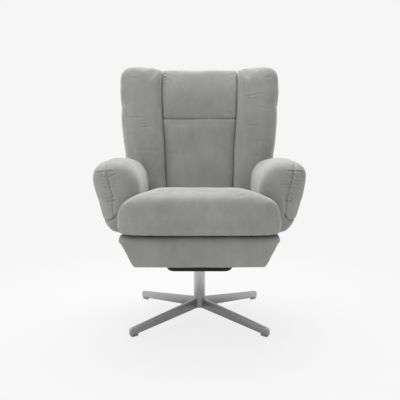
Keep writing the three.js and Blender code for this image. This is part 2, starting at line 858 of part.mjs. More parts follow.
// Lower links and the tube that makes both sides fold together
const linkHole = linkPin + pinClearance;
const lowerLinkOuter = lowerLinkX + linkThickness;
const lowerLink = strap(
  [[linkPivotY, linkPivotZ], [elbowY, elbowZ]], linkHalfWidth, lowerLinkX, lowerLinkOuter,
)
  .subtract(solidOf(barAlongX(linkPivotY, linkPivotZ, linkHole, 0, cutReach)))
  .add(rivet(
    elbowY, elbowZ, linkPin, linkHalfWidth,
    lowerLinkX, upperLinkX - pinClearance - pinHeadThickness,
  ));
const tubeY = THREE.MathUtils.lerp(linkPivotY, elbowY, syncTubeShare);
const tubeZ = THREE.MathUtils.lerp(linkPivotZ, elbowZ, syncTubeShare);
const syncTube = solidOf(barAlongX(tubeY, tubeZ, syncTubeRadius, -lowerLinkX, lowerLinkX));
const lowerFrame = lowerLink.add(mirrored(lowerLink)).add(syncTube);
addPiece(footrestGroup, 'footrest_lower_frame', lowerFrame, darkSteelColour);

// Upper links
const upperLink = strap(
  [[elbowY, elbowZ], [padPivotY, padPivotZ]],
  linkHalfWidth, upperLinkX, upperLinkX + linkThickness,
)
  .subtract(solidOf(barAlongX(elbowY, elbowZ, linkHole, 0, cutReach)))
  .subtract(solidOf(barAlongX(padPivotY, padPivotZ, linkHole, 0, cutReach)));
addPair(footrestGroup, 'footrest_upper_link', upperLink, darkSteelColour);

// Footrest board with its cheeks, which hold the pins of the upper links
const padBoardRear = padRear - seatGap;
const padBoardFront = padBoardRear - padBoardThickness;
const padBoard = solidOf(block(
  -padBoardHalfWidth, padBoardHalfWidth,
  padBoardFront, padBoardRear, padBoardBottom, padBoardTop,
));
const boardSlot = solidOf(block(
  pocketInnerX, pocketOuterX, padFront, 0, pocketBottom + pinHeadThickness, cutReach,
));
const cheekOutline = [
  [padBoardRear, cheekBottom],
  [padBoardRear, cheekTop],
  [padPivotY - linkHalfWidth, cheekTop],
  [padPivotY - linkHalfWidth, padPivotZ - linkHalfWidth],
];
const cheekIn = solidOf(plateAcrossX(
  cheekOutline, pocketInnerX - cheekThickness, cheekInnerX + cheekThickness,
));
const cheekOut = solidOf(plateAcrossX(
  cheekOutline, cheekOuterX, pocketOuterX + cheekThickness,
));
const padPin = solidOf(barAlongX(
  padPivotY, padPivotZ, linkPin, cheekInnerX, cheekOuterX + cheekThickness,
));
const cheekPair = cheekIn.add(cheekOut).add(padPin);
const footrestBoard = padBoard
  .subtract(boardSlot)
  .subtract(mirrored(boardSlot))
  .add(cheekPair)
  .add(mirrored(cheekPair));
addPiece(footrestGroup, 'footrest_board', footrestBoard, plywoodColour);

// Footrest pad: a padded panel with a rolled upper edge, drawn in at its ends
const padTop = bodyTop + seatGap;
const padProfile = [];
const addArc = (y, z, radius, from, to, steps) => {
  for (let i = 0; i <= steps; i += 1) {
    const angle = THREE.MathUtils.degToRad(THREE.MathUtils.lerp(from, to, i / steps));
    padProfile.push([y + radius * Math.cos(angle), z + radius * Math.sin(angle)]);
  }
};
addArc(padRear - padEdge, bodyBottom + padEdge, padEdge, 0, -90, 2);
addArc(padFront + padEdge, bodyBottom + padEdge, padEdge, -90, -180, 2);
bodyTaper.slice(2, 5).forEach(([rise]) => padProfile.push([padFront, bodyBottom + rise]));
addArc(padFront + padRound, padTop - padRound, padRound, 180, 90, 5);
addArc(padRear - padEdge, padTop - padEdge, padEdge, 90, 0, 2);
const padMidY = (padFront + padRear) / 2;
const padMidZ = (bodyBottom + padTop) / 2;
const padEndShares = [[1, 0.86], [0.992, 0.94], [0.975, 0.985], [0.94, 1]];
const padRing = (reach, size) => padProfile.map(([y, z]) => {
  const height = THREE.MathUtils.lerp(padMidZ, z, size);
  const depth = THREE.MathUtils.lerp(padMidY, y, size);
  const halfWidth = between(bodyTaper, z - bodyBottom, 1);
  return new THREE.Vector3(halfWidth * reach, depth, height);
});
const padRings = [
  ...padEndShares.map(([reach, size]) => padRing(-reach, size)),
  ...[...padEndShares].reverse().map(([reach, size]) => padRing(reach, size)),
];
const pocketOutline = [
  [pocketFront, pocketBottom],
  [0, pocketBottom],
  [0, padTop + padEdge],
  [pocketFront + pocketLean, padTop + padEdge],
  [pocketFront + pocketLean, padTop - seatGap],
  [pocketFront, padPivotZ + linkHalfWidth],
];
const pocket = solidOf(plateAcrossX(
  pocketOutline,
  pocketInnerX - cheekThickness - seatGap, pocketOuterX + cheekThickness + seatGap,
));
const boardRecess = solidOf(block(
  -padBoardHalfWidth - seatGap, padBoardHalfWidth + seatGap,
  padBoardFront - seatGap, 0, padBoardBottom - seatGap, padBoardTop + seatGap,
));
const footrestPad = outwardSolid(loft(padRings))
  .subtract(pocket)
  .subtract(mirrored(pocket))
  .subtract(boardRecess);
addPiece(footrestGroup, 'footrest_pad', footrestPad, fabricColour);

// Back uprights: bent straps from the recline hinge up to the head hinge
const reclineD = (reclineY - backFrontY) * Math.cos(backLean)
  - (reclineZ - backBottomZ) * Math.sin(backLean);
const reclineH = (reclineY - backFrontY) * Math.sin(backLean)
  + (reclineZ - backBottomZ) * Math.cos(backLean);
const uprightOuterX = uprightInnerX + uprightThickness;
const uprightKneeH = headAxisH - kneeBelowHeadAxis;
const upright = strap(
  [[reclineD, reclineH], [uprightD, uprightElbowH], [uprightD, uprightKneeH]],
  uprightHalfWidth, uprightInnerX, uprightOuterX,
)
  .add(strap(
    [[uprightD, uprightKneeH], [headAxisD, headAxisH]],
    headLugRadius, uprightInnerX, uprightOuterX,
  ))
  .subtract(solidOf(barAlongX(
    reclineD, reclineH, hingePinRadius + pinClearance, 0, cutReach,
  )))
  .add(rivet(
    headAxisD, headAxisH, headPinRadius, linkHalfWidth,
    uprightInnerX, headLugX - pinClearance - pinHeadThickness,
  ));
addPair(backGroup, 'back_upright', upright, darkSteelColour);

// Rails between the uprights and the thin board that the centre pad lies on
const backRailHalf = uprightInnerX - seatGap;
const backBoardD = centreSetBack + centreDepth + seatGap;
const backRailD = backBoardD + backBoardThickness + seatGap;
const addBackRail = (name, h) => addPiece(backGroup, name, crossTube(
  backRailHalf, backRailD, backDepth, h, h + backRailHeight,
), darkSteelColour);
addBackRail('back_lower_rail', lowerRailH);
addBackRail('back_upper_rail', headAxisH - upperRailBelowHeadAxis);
const backBoard = block(
  -backRailHalf, backRailHalf, backBoardD, backBoardD + backBoardThickness,
  uprightElbowH - uprightHalfWidth, headAxisH - backBoardBelowHeadAxis,
);
addPiece(backGroup, 'back_board', backBoard, plywoodColour);

// Cutters of the back: the level bottom and the round fold at the head hinge
const floorCut = solidOf(
  block(-cutReach, cutReach, -cutReach, cutReach, -cutReach, 0).rotateX(backLean),
);
const headZone = (radius) => solidOf(
  barAlongX(headAxisD, headAxisH, radius, -cutReach, cutReach, 2 * roundSides),
).add(solidOf(block(
  -cutReach, cutReach, -cutReach, cutReach, headAxisH, cutReach + cutReach,
)));
const grownZone = (radius) => solidOf(
  barAlongX(headAxisD, headAxisH, radius + seatGap, -cutReach, cutReach, 2 * roundSides),
).add(solidOf(block(
  -cutReach, cutReach, -cutReach, cutReach, headAxisH - seatGap, cutReach + cutReach,
)));

// One wing from the seat to its top, drawn in at the fold and domed at the top
const wingLast = wingProfile[wingProfile.length - 1];
const crownStart = wingLast[0];
const crownStretch = backTop - crownStart;

function wingRing(h, inner, outer, front, rear, dip = 0) {
  return wingSectionShares.map(([across, deep]) => {
    const x = THREE.MathUtils.lerp(inner, outer, across);
    const d = backDepth * THREE.MathUtils.lerp(front, rear, deep);
    return new THREE.Vector3(x, d, h - dip * (1 - across) ** 2);
  });
}

const wingRings = wingProfile.map(([h, inner, outer]) => (
  wingRing(h, inner + seamGap, outer, 0, 1)
));
wingCrownShares.forEach(([rise, outerShare, innerShare, front, rear]) => {
  const inner = THREE.MathUtils.lerp(wingLast[1] + seamGap, wingLast[2], innerShare);
  const outer = THREE.MathUtils.lerp(wingLast[1] + seamGap, wingLast[2], outerShare);
  const h = crownStart + rise * crownStretch;
  wingRings.push(wingRing(h, inner, outer, front, rear, wingTopDip * rise));
});
const frameNotch = solidOf(block(
  0, wingNotchX, centreSetBack + centreDepth, cutReach, -cutReach, cutReach,
)).add(solidOf(block(
  uprightInnerX - headLugThickness * 2, wingNotchX, hingePocketD, cutReach,
  headAxisH - hingePocketBelowAxis, headAxisH + hingePocketAboveAxis,
)));
const wing = outwardSolid(loft(wingRings)).subtract(frameNotch).subtract(floorCut);
addPair(backGroup, 'wing_lower', wing.subtract(grownZone(wingBallRadius)), fabricColour);
addPair(backGroup, 'wing_upper', wing.intersect(headZone(wingBallRadius)), fabricColour);

// Centre pad between the wings
function centreRing(h, front, rear, size) {
  const halfWidth = between(wingProfile, h, 1) - seamGap;
  return centreSectionShares.map(([across, deep]) => new THREE.Vector3(
    halfWidth * across * size, THREE.MathUtils.lerp(front, rear, deep), h,
  ));
}

const centreRear = centreSetBack + centreDepth;
const centreRings = wingProfile
  .filter(([h]) => h < headAxisH)
  .map(([h]) => centreRing(h, centreSetBack, centreRear, 1));
const centrePad = outwardSolid(loft(centreRings))
  .subtract(floorCut)
  .subtract(grownZone(pillowBallRadius));
addPiece(backGroup, 'back_centre_pad', centrePad, fabricColour);

// Head pillow: fuller than the pad below it, with a rolled lower edge and a soft top
const pillowSpan = pillowTop - headAxisH + pillowBallRadius;
const pillowShares = [
  [0, 0.55, 1, 0.99],
  [0.09, 0.16, 1, 1],
  [0.28, 0, 1, 1],
  [0.6, 0.04, 1, 1],
  [0.84, 0.2, 1, 1],
  [0.93, 0.32, 0.97, 0.995],
  [0.98, 0.45, 0.92, 0.985],
  [1, 0.6, 0.85, 0.96],
];
const pillowRings = pillowShares.map(([rise, front, rear, size]) => {
  const h = headAxisH - pillowBallRadius + rise * pillowSpan;
  const depth = centreRear - pillowFront;
  return centreRing(h, pillowFront + front * depth, pillowFront + rear * depth, size);
});
const headPillow = outwardSolid(loft(pillowRings)).intersect(headZone(pillowBallRadius));
addPiece(backGroup, 'head_pillow', headPillow, fabricColour);

// Head frame: a board with a lug on each side that turns on the upright's rivet
const headBoardBottom = headAxisH + headBoardAboveAxis;
const headBoard = solidOf(block(
  -headLugX, headLugX, headBoardD, headBoardD + headBoardThickness,
  headBoardBottom, headBoardTop,
));
const headLugTop = headBoardBottom + 2 * headLugRadius;
const headLugD = centreRear + headLugRadius + 2 * seatGap;
const headLug = strap(
  [[headAxisD, headAxisH], [headLugD, headLugTop]],
  headLugRadius, headLugX, headLugX + headLugThickness,
)
  .add(strap(
    [[headLugD, headLugTop], [headLugD, headBoardTop - headLugRadius]],
    headLugRadius, headLugX, headLugX + headLugThickness,
  ))
  .subtract(solidOf(barAlongX(
    headAxisD, headAxisH, headPinRadius + pinClearance, 0, cutReach,
  )));
addPiece(backGroup, 'head_frame', headBoard.add(headLug).add(mirrored(headLug)), darkSteelColour);

// Rear covers, lower and upper
const coverD = backDepth + seatGap;
const coverRing = (h, size, deep) => {
  const halfWidth = (between(wingProfile, h, 2) - coverInset) * size;
  return rearCoverShares.map(([across, depth]) => new THREE.Vector3(
    halfWidth * across, coverD + rearCoverDepth * depth * deep, h,
  ));
};
const rearRings = [
  coverRing(wingProfile[0][0], 0.97, coverHemShare),
  coverRing(coverHem / 2, 0.985, coverHemShare),
  coverRing(coverHem, 1, 1),
  ...wingProfile.slice(1).map(([h]) => coverRing(h, 1, 1)),
];
const rearTopShares = [
  [0.4, 0.975, 1],
  [0.68, 0.93, 0.92],
  [0.84, 0.86, 0.7],
];
rearTopShares.forEach(([rise, size, deep]) => {
  rearRings.push(coverRing(crownStart + rise * crownStretch, size, deep));
});
const uprightSlot = solidOf(block(
  uprightInnerX - hingePlate, uprightOuterX + hingePlate, 0, cutReach,
  -cutReach, uprightElbowH,
));
const rearCover = outwardSolid(loft(rearRings))
  .subtract(floorCut)
  .subtract(uprightSlot)
  .subtract(mirrored(uprightSlot));
const aboveHead = solidOf(block(
  -cutReach, cutReach, -cutReach, cutReach, headAxisH, cutReach + cutReach,
));
const lowerCover = rearCover.subtract(grownZone(wingBallRadius));
addPiece(backGroup, 'back_rear_cover', lowerCover, fabricColour);
const rollBack = coverD + rearCoverDepth;
const rollFront = centreRear + 2 * seatGap;
const rollBottom = headBoardTop + 2 * seatGap;
const topRoll = solidOf(softBody(
  between(wingProfile, crownStart, 1) - 2 * seamGap, (rollBack - rollFront) / 2,
  (rollTop - rollBottom) / 2, (rollTop - rollBottom) / 2, 8, 3, [6, 4, 4],
).translate(0, (rollBack + rollFront) / 2, (rollTop + rollBottom) / 2));
const headCover = rearCover.intersect(aboveHead).add(topRoll);
addPiece(backGroup, 'head_rear_cover', headCover, fabricColour);

export default chair;
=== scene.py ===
# %% [markdown]
# # A padded swivel recliner on a star base
# The chair in this lesson is a wing chair of grey velour. It stands on a steel column with four
# flat legs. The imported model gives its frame: every rail, link and hinge at its real place.
# Here the frame keeps its places, gets its finishes, and the plain cushion blocks are
# replaced by sewn, filled covers.

# %% The fixed frame
import json
import math

import bpy
import numpy as np
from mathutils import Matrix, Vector

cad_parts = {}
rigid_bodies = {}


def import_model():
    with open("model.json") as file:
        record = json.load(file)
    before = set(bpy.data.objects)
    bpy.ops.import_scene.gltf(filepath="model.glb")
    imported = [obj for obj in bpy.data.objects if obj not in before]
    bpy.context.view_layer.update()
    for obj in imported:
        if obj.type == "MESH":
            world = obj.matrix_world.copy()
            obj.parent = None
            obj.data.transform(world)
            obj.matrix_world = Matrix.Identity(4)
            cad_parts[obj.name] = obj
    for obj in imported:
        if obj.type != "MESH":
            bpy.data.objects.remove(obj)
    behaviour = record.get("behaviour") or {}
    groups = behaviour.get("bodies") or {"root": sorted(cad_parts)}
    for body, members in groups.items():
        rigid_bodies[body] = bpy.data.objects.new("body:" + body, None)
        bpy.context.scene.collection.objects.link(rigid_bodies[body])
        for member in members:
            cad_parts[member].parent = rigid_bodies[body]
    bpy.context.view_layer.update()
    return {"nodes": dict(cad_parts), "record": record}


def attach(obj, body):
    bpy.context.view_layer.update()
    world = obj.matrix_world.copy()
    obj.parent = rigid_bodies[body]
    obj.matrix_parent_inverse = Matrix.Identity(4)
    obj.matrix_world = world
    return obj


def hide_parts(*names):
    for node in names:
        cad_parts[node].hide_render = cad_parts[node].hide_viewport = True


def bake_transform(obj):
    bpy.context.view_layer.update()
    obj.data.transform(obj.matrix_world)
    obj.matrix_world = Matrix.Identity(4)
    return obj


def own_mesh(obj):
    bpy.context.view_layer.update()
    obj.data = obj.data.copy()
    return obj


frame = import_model()

# %% [markdown]
# Sizes are easier to think about in millimetres, while Blender counts in metres. All shapes
# below are written in millimetres and are scaled once, when a mesh is made. The back leans,
# so it has its own pair of directions: d runs from the front of the wings to the rear, and h
# runs up along the back.

# %% Units and the leaning back
MM = 0.001
LEAN = math.radians(14)
BACK_FOOT = (100.0, 400.0)
HEAD_AXIS = (59.0, 441.0)


def on_back(x, d, h):
    """A point of the leaning back, in millimetres of the chair."""
    y = BACK_FOOT[0] + d * math.cos(LEAN) + h * math.sin(LEAN)
    z = BACK_FOOT[1] - d * math.sin(LEAN) + h * math.cos(LEAN)
    return np.stack(np.broadcast_arrays(x, y, z), axis=-1)


def back_depth_and_height(points):
    """The d and h of points that are given in millimetres of the chair."""
    y = points[:, 1] - BACK_FOOT[0]
    z = points[:, 2] - BACK_FOOT[1]
    return y * math.cos(LEAN) - z * math.sin(LEAN), y * math.sin(LEAN) + z * math.cos(LEAN)


print("head hinge at", on_back(0, *HEAD_AXIS).round(1))

# %% [markdown]
# ## The camera
# The photograph was taken from the front, a little above the seat. Solving its perspective
# from the four feet and the column gives the distance, the height and a slight downward
# tilt. The camera is made first, so that every piece can be compared with the photograph.

# %% Camera
camera_data = bpy.data.cameras.new("camera")
camera_data.sensor_width = 36.0
camera_data.lens = 53.44
camera_data.shift_x = 0.00125
camera = bpy.data.objects.new("camera", camera_data)
camera.location = (0.0, -2.319, 0.754)
camera.rotation_euler = (math.radians(90 - 7.01), 0.0, 0.0)
bpy.context.scene.collection.objects.link(camera)
bpy.context.scene.camera = camera
bpy.context.scene.view_settings.view_transform = "Standard"
print("camera at", tuple(camera.location))

# %% [markdown]
# ## Small tools
# An operator works on everything that is selected, so each step begins by selecting one
# object only. The helpers below do that, apply a modifier, and make a mesh from points.

# %% Selecting and applying
def only(obj):
    """Select one object and make it active."""
    for other in bpy.context.view_layer.objects:
        other.select_set(False)
    obj.select_set(True)
    bpy.context.view_layer.objects.active = obj
    return obj


def apply_modifier(obj, name, kind, **values):
    """Add a modifier, set it and apply it."""
    modifier = obj.modifiers.new(name, kind)
    for key, value in values.items():
        setattr(modifier, key, value)
    only(obj)
    bpy.ops.object.modifier_apply(modifier=modifier.name)


def smooth(obj, angle=None):
    """Shade smooth, with crisp edges past an angle in degrees if one is given."""
    only(obj)
    if angle is None:
        bpy.ops.object.shade_smooth()
    else:
        bpy.ops.object.shade_smooth_by_angle(angle=math.radians(angle))


def mesh_from(name, points, faces):
    """A new object from points in millimetres and faces."""
    data = bpy.data.meshes.new(name)
    data.from_pydata((np.asarray(points, float) * MM).tolist(), [], faces)
    data.validate()
    obj = bpy.data.objects.new(name, data)
    bpy.context.scene.collection.objects.link(obj)
    return obj


def points_of(obj):
    """The vertices of an object in millimetres."""
    flat = np.zeros(len(obj.data.vertices) * 3)
    obj.data.vertices.foreach_get("co", flat)
    return flat.reshape(-1, 3) / MM


def normals_of(obj):
    flat = np.zeros(len(obj.data.vertices) * 3)
    obj.data.vertices.foreach_get("normal", flat)
    return flat.reshape(-1, 3)


def set_points(obj, points):
    obj.data.vertices.foreach_set("co", (points * MM).ravel())
    obj.data.update()


def face_outwards(obj):
    only(obj)
    bpy.ops.object.mode_set(mode="EDIT")
    bpy.ops.mesh.select_all(action="SELECT")
    bpy.ops.mesh.normals_make_consistent(inside=False)
    bpy.ops.object.mode_set(mode="OBJECT")


def mirror_copy(obj, name):
    """The same piece for the other side of the chair, with its own mesh."""
    data = obj.data.copy()
    twin = bpy.data.objects.new(name, data)
    bpy.context.scene.collection.objects.link(twin)
    points = points_of(twin)
    points[:, 0] *= -1
    set_points(twin, points)
    face_outwards(twin)
    return twin


print("tools ready")

# %% [markdown]
# ## Curves through points
# Each padded piece starts as a skin over a row of closed outlines. The outlines are drawn
# with few points, and a smooth curve is laid through them. Tangents follow the distances
# between the points, so the curve doesn't overshoot where the points are close together.

# %% Smooth curves and skins
def curve_through(points, count, closed=False):
    """Evenly spread points on a smooth curve through the given ones."""
    p = np.asarray(points, float)
    if p.ndim == 1:
        p = p[:, None]
    if closed:
        p = np.vstack([p[-1:], p, p[:2]])
    step = np.maximum(np.linalg.norm(np.diff(p, axis=0), axis=1), 1e-6)
    run = np.concatenate([[0], np.cumsum(step)])
    slope = np.diff(p, axis=0) / step[:, None]
    tangent = np.empty_like(p)
    tangent[0], tangent[-1] = slope[0], slope[-1]
    before, after = step[:-1, None], step[1:, None]
    tangent[1:-1] = (slope[:-1] * after + slope[1:] * before) / (before + after)
    first, last = (run[1], run[-2]) if closed else (run[0], run[-1])
    at = np.linspace(first, last, count, endpoint=not closed)
    i = np.clip(np.searchsorted(run, at, side="right") - 1, 0, len(step) - 1)
    t = ((at - run[i]) / step[i])[:, None]
    width = step[i][:, None]
    return ((2 * t**3 - 3 * t**2 + 1) * p[i] + (t**3 - 2 * t**2 + t) * width * tangent[i]
            + (3 * t**2 - 2 * t**3) * p[i + 1] + (t**3 - t**2) * width * tangent[i + 1])


def columns_at(table, places):
    """Rows of a table between its own rows, smoothly, by its first column."""
    table = np.asarray(table, float)
    fine = curve_through(table, 600)
    return np.stack([np.interp(places, fine[:, 0], fine[:, k]) for k in range(1, table.shape[1])],
                    axis=-1)


def skin(name, rings):
    """A closed skin over rings that have the same number of points."""
    count = len(rings[0])
    faces = []
    for r in range(len(rings) - 1):
        for i in range(count):
            j = (i + 1) % count
            a, b = r * count, (r + 1) * count
            faces.append((a + i, a + j, b + j, b + i))
    last = (len(rings) - 1) * count
    faces.append(tuple(range(count))[::-1])
    faces.append(tuple(range(last, last + count)))
    obj = mesh_from(name, np.vstack(rings), faces)
    face_outwards(obj)
    return obj


print("curves ready")

# %% [markdown]
# ## Filling a cover
# A real cushion cover is cut and sewn flat, and the filling swells it until the cloth is
# tight. The same is done here. The skin is remeshed into even little squares, and Blender's
# Cloth blows it up from inside with gravity off. Where the cushion lies on wood or another
# cushion it is held, so it stays flat there. How far a point may move is capped. Some covers
# get a little slack, which gives soft puckers near the held edges, and a few passes of
# smoothing calm the folds.

# %% Remesh and fill
scene = bpy.context.scene


def even_mesh(obj, voxel, passes=6, lean=0.0):
    """Even squares all over. A leaning piece is stood upright for it, so its faces get no steps."""
    turn = np.array([[1, 0, 0], [0, math.cos(lean), -math.sin(lean)], [0, math.sin(lean), math.cos(lean)]])
    set_points(obj, points_of(obj) @ turn.T)
    apply_modifier(obj, "remesh", "REMESH", mode="VOXEL", voxel_size=voxel * MM)
    set_points(obj, points_of(obj) @ turn)
    if passes:
        apply_modifier(obj, "relax", "SMOOTH", factor=0.5, iterations=passes)


def fill(obj, held, cap, pressure=4.0, slack=0.02, calm=2):
    """Swell a cover with Cloth. held gives how firmly each point stays put, cap is in mm."""
    start = points_of(obj)
    grip = np.clip(held(start), 0, 1)
    group = obj.vertex_groups.new(name="held")
    for weight in np.unique(np.round(grip, 1)):
        chosen = np.nonzero(np.round(grip, 1) == weight)[0]
        group.add(chosen.tolist(), float(weight), "REPLACE")
    cloth = obj.modifiers.new("cloth", "CLOTH")
    cloth.settings.quality = 4
    cloth.settings.mass = 0.3
    cloth.settings.tension_stiffness = 12
    cloth.settings.compression_stiffness = 8
    cloth.settings.shear_stiffness = 6
    cloth.settings.bending_stiffness = 0.6
    cloth.settings.shrink_min = -slack
    cloth.settings.use_pressure = True
    cloth.settings.uniform_pressure_force = pressure
    cloth.settings.effector_weights.gravity = 0
    cloth.settings.vertex_group_mass = "held"
    cloth.collision_settings.use_collision = False
    cloth.point_cache.frame_start = 1
    cloth.point_cache.frame_end = 20
    for number in range(1, 21):
        scene.frame_set(number)
    depsgraph = bpy.context.evaluated_depsgraph_get()
    swollen = obj.evaluated_get(depsgraph)
    flat = np.zeros(len(start) * 3)
    swollen.data.vertices.foreach_get("co", flat)
    move = flat.reshape(-1, 3) / MM - start
    length = np.maximum(np.linalg.norm(move, axis=1, keepdims=True), 1e-9)
    move *= cap * np.tanh(length / cap) / length
    obj.modifiers.remove(cloth)
    obj.vertex_groups.clear()
    set_points(obj, start + move)
    scene.frame_set(1)
    if calm:
        apply_modifier(obj, "calm", "SMOOTH", factor=0.5, iterations=calm)
    print(obj.name, "swelled by up to", round(float(np.abs(move).max()), 1), "mm")


def finer(obj, levels=1):
    apply_modifier(obj, "finer", "SUBSURF", levels=levels, render_levels=levels)


# %% [markdown]
# ## Seams, gathers and creases
# A seam pulls the cloth down into a groove. Gathers are small ripples that run away from a
# seam, and a crease is a short groove with soft lips. All three are moves of the points
# along their own normals, worked out from the distance to a line. Two small functions fade
# such a move in or out along any measure.

# %% Lines on the cloth
def rise(value, start, width):
    """0 up to start, then evenly up to 1 over a width."""
    return np.clip((value - start) / width, 0, 1)


def fall(value, end, width):
    """1 until a width before the end, then evenly down to 0."""
    return np.clip((end - value) / width, 0, 1)


def near_line(points, line):
    """Distance of each point to a line of points, and how far along the line that is."""
    line = np.asarray(line, float)
    best = np.full(len(points), 1e9)
    place = np.zeros(len(points))
    run = 0.0
    for a, b in zip(line[:-1], line[1:]):
        stretch = b - a
        length = max(float(np.linalg.norm(stretch)), 1e-6)
        t = np.clip((points - a) @ stretch / length**2, 0, 1)
        distance = np.linalg.norm(points - (a + t[:, None] * stretch), axis=1)
        nearer = distance < best
        best[nearer] = distance[nearer]
        place[nearer] = run + t[nearer] * length
        run += length
    return best, place, run


def laid_on(obj, line, count=24):
    """A smooth line laid on the surface of a piece, in millimetres."""
    fine = curve_through(line, count)
    return np.array([np.array(obj.closest_point_on_mesh(Vector(point * MM))[1]) / MM for point in fine])


def groove(points, line, depth, width):
    distance, _, _ = near_line(points, line)
    return -depth * np.exp(-((distance / width) ** 2))


def gathers(points, line, height, pitch, reach, start, end, phase=0.0):
    """Ripples across a seam between two places along it."""
    distance, place, _ = near_line(points, line)
    window = rise(place, start, pitch) * fall(place, end, pitch)
    wave = np.sin(2 * math.pi * place / pitch + phase + 0.05 * distance)
    return height * wave * window * np.exp(-((distance / reach) ** 1.6)) * rise(distance, 0, 3)


def crease(points, line, depth, width):
    """A short groove with a raised lip on either side, fading at both ends."""
    distance, place, run = near_line(points, line)
    share = np.clip(place / run, 0, 1)
    ends = np.clip(4 * share * (1 - share), 0, 1) ** 0.6
    cut = np.exp(-((distance / width) ** 2))
    lip = np.exp(-(((distance - 2 * width) / width) ** 2))
    return depth * ends * (0.45 * lip - cut)


def unevenness(points, height, size, seed):
    """Slow swells of the filling, the same on every run."""
    draw = np.random.RandomState(seed)
    total = np.zeros(len(points))
    for _ in range(14):
        direction = draw.normal(size=3)
        direction /= np.linalg.norm(direction)
        wave = 2 * math.pi / (size * draw.uniform(0.6, 1.6))
        total += np.sin(points @ direction * wave + draw.uniform(0, 2 * math.pi))
    return height * total / 14**0.5


def shift_along_normals(obj, amount):
    set_points(obj, points_of(obj) + normals_of(obj) * amount[:, None])


print("cloth tools ready")

# %% [markdown]
# ## The upholstery cloth
# The cover is a short velour in a warm light grey. Its pile lies this way and that, so it
# looks patchy from close by, catches light at its edges and has almost no gloss. The colour
# comes from three layers of noise, the fine pile from a bump, and the bright edge from the
# shader's sheen. Guided by the Pointiness of the mesh, the colour is darkened where cloth sinks
# into a seam, as painted shade, and lightened a little on ridges, partly as wear and partly as
# a painted highlight.

# %% Node helpers
def new_material(name, **values):
    """A material, its tree and its shader, with even values set on the shader's own sockets."""
    material = bpy.data.materials.new(name)
    material.use_nodes = True
    tree = material.node_tree
    shader = tree.nodes["Principled BSDF"]
    for key, value in values.items():
        shader.inputs[key.replace("_", " ")].default_value = value
    return material, tree, shader


def add(tree, kind, inputs=None, **settings):
    """Add a node, set it, and link or set its inputs."""
    node = tree.nodes.new(kind)
    for key, value in settings.items():
        setattr(node, key, value)
    for key, value in (inputs or {}).items():
        if isinstance(value, bpy.types.NodeSocket):
            tree.links.new(value, node.inputs[key])
        else:
            node.inputs[key].default_value = value
    return node


def grain(tree, scale, detail=2.0, stretch=(1, 1, 1), turn=(0, 0, 0), roughness=0.5):
    """Noise on the piece's own coordinates, stretched or turned if need be."""
    place = add(tree, "ShaderNodeTexCoord").outputs["Object"]
    if tuple(stretch) != (1, 1, 1) or tuple(turn) != (0, 0, 0):
        place = add(tree, "ShaderNodeMapping",
                    {"Vector": place, "Scale": stretch, "Rotation": turn}).outputs["Vector"]
    noise = add(tree, "ShaderNodeTexNoise",
                {"Vector": place, "Scale": scale, "Detail": detail, "Roughness": roughness})
    return noise.outputs["Fac"]


def ramp(tree, value, low, high, dark, light):
    """Colours between two, by a value between low and high."""
    node = add(tree, "ShaderNodeValToRGB", {"Fac": value})
    node.color_ramp.elements[0].position = low
    node.color_ramp.elements[0].color = (*dark, 1)
    node.color_ramp.elements[1].position = high
    node.color_ramp.elements[1].color = (*light, 1)
    return node.outputs["Color"]


def blend_colours(tree, first, second, factor, kind="MIX"):
    node = add(tree, "ShaderNodeMix", data_type="RGBA", blend_type=kind)
    for index, value in ((0, factor), (6, first), (7, second)):
        if isinstance(value, bpy.types.NodeSocket):
            tree.links.new(value, node.inputs[index])
        else:
            node.inputs[index].default_value = value
    return node.outputs[2]


def bumps(tree, shader, layers):
    """Several heights on top of each other: each is a value, a strength and a distance in mm."""
    normal = None
    for value, strength, distance in layers:
        inputs = {"Height": value, "Strength": strength, "Distance": distance * MM}
        if normal is not None:
            inputs["Normal"] = normal
        normal = add(tree, "ShaderNodeBump", inputs).outputs["Normal"]
    tree.links.new(normal, shader.inputs["Normal"])


# %% Velour
def velour(name, dark, light):
    material, tree, shader = new_material(
        name, Roughness=0.88, Specular_IOR_Level=0.18, Sheen_Weight=0.32, Sheen_Roughness=0.38,
        Sheen_Tint=(0.95, 0.95, 0.92, 1))
    patches = ramp(tree, grain(tree, 7.0, 3.0), 0.3, 0.7, dark, light)
    strokes = ramp(tree, grain(tree, 42.0, 3.0, stretch=(1, 1, 0.4)), 0.25, 0.75,
                   (0.90, 0.90, 0.90), (1.06, 1.06, 1.06))
    pile = ramp(tree, grain(tree, 1100.0, 2.0), 0.2, 0.8, (0.86, 0.86, 0.86), (1.1, 1.1, 1.1))
    colour = blend_colours(tree, patches, strokes, 0.8, "MULTIPLY")
    colour = blend_colours(tree, colour, pile, 0.7, "MULTIPLY")
    pointiness = add(tree, "ShaderNodeNewGeometry").outputs["Pointiness"]
    # Painted shade and highlight: Pointiness darkens the colour in grooves and seams, and lightens it on
    # ridges, partly as wear and partly as painted highlight.
    groove_shade_ridge_light_and_wear = ramp(tree, pointiness, 0.44, 0.56, (0.62, 0.62, 0.61), (1.06, 1.06, 1.06))
    colour = blend_colours(tree, colour, groove_shade_ridge_light_and_wear, 0.55, "MULTIPLY")
    tree.links.new(colour, shader.inputs["Base Color"])
    bumps(tree, shader, [(grain(tree, 900.0, 2.0), 0.25, 0.5),
                         (grain(tree, 120.0, 3.0), 0.18, 1.2)])
    return material


cloth_finish = velour("velour", (0.300, 0.303, 0.286), (0.352, 0.355, 0.336))
print("velour ready")
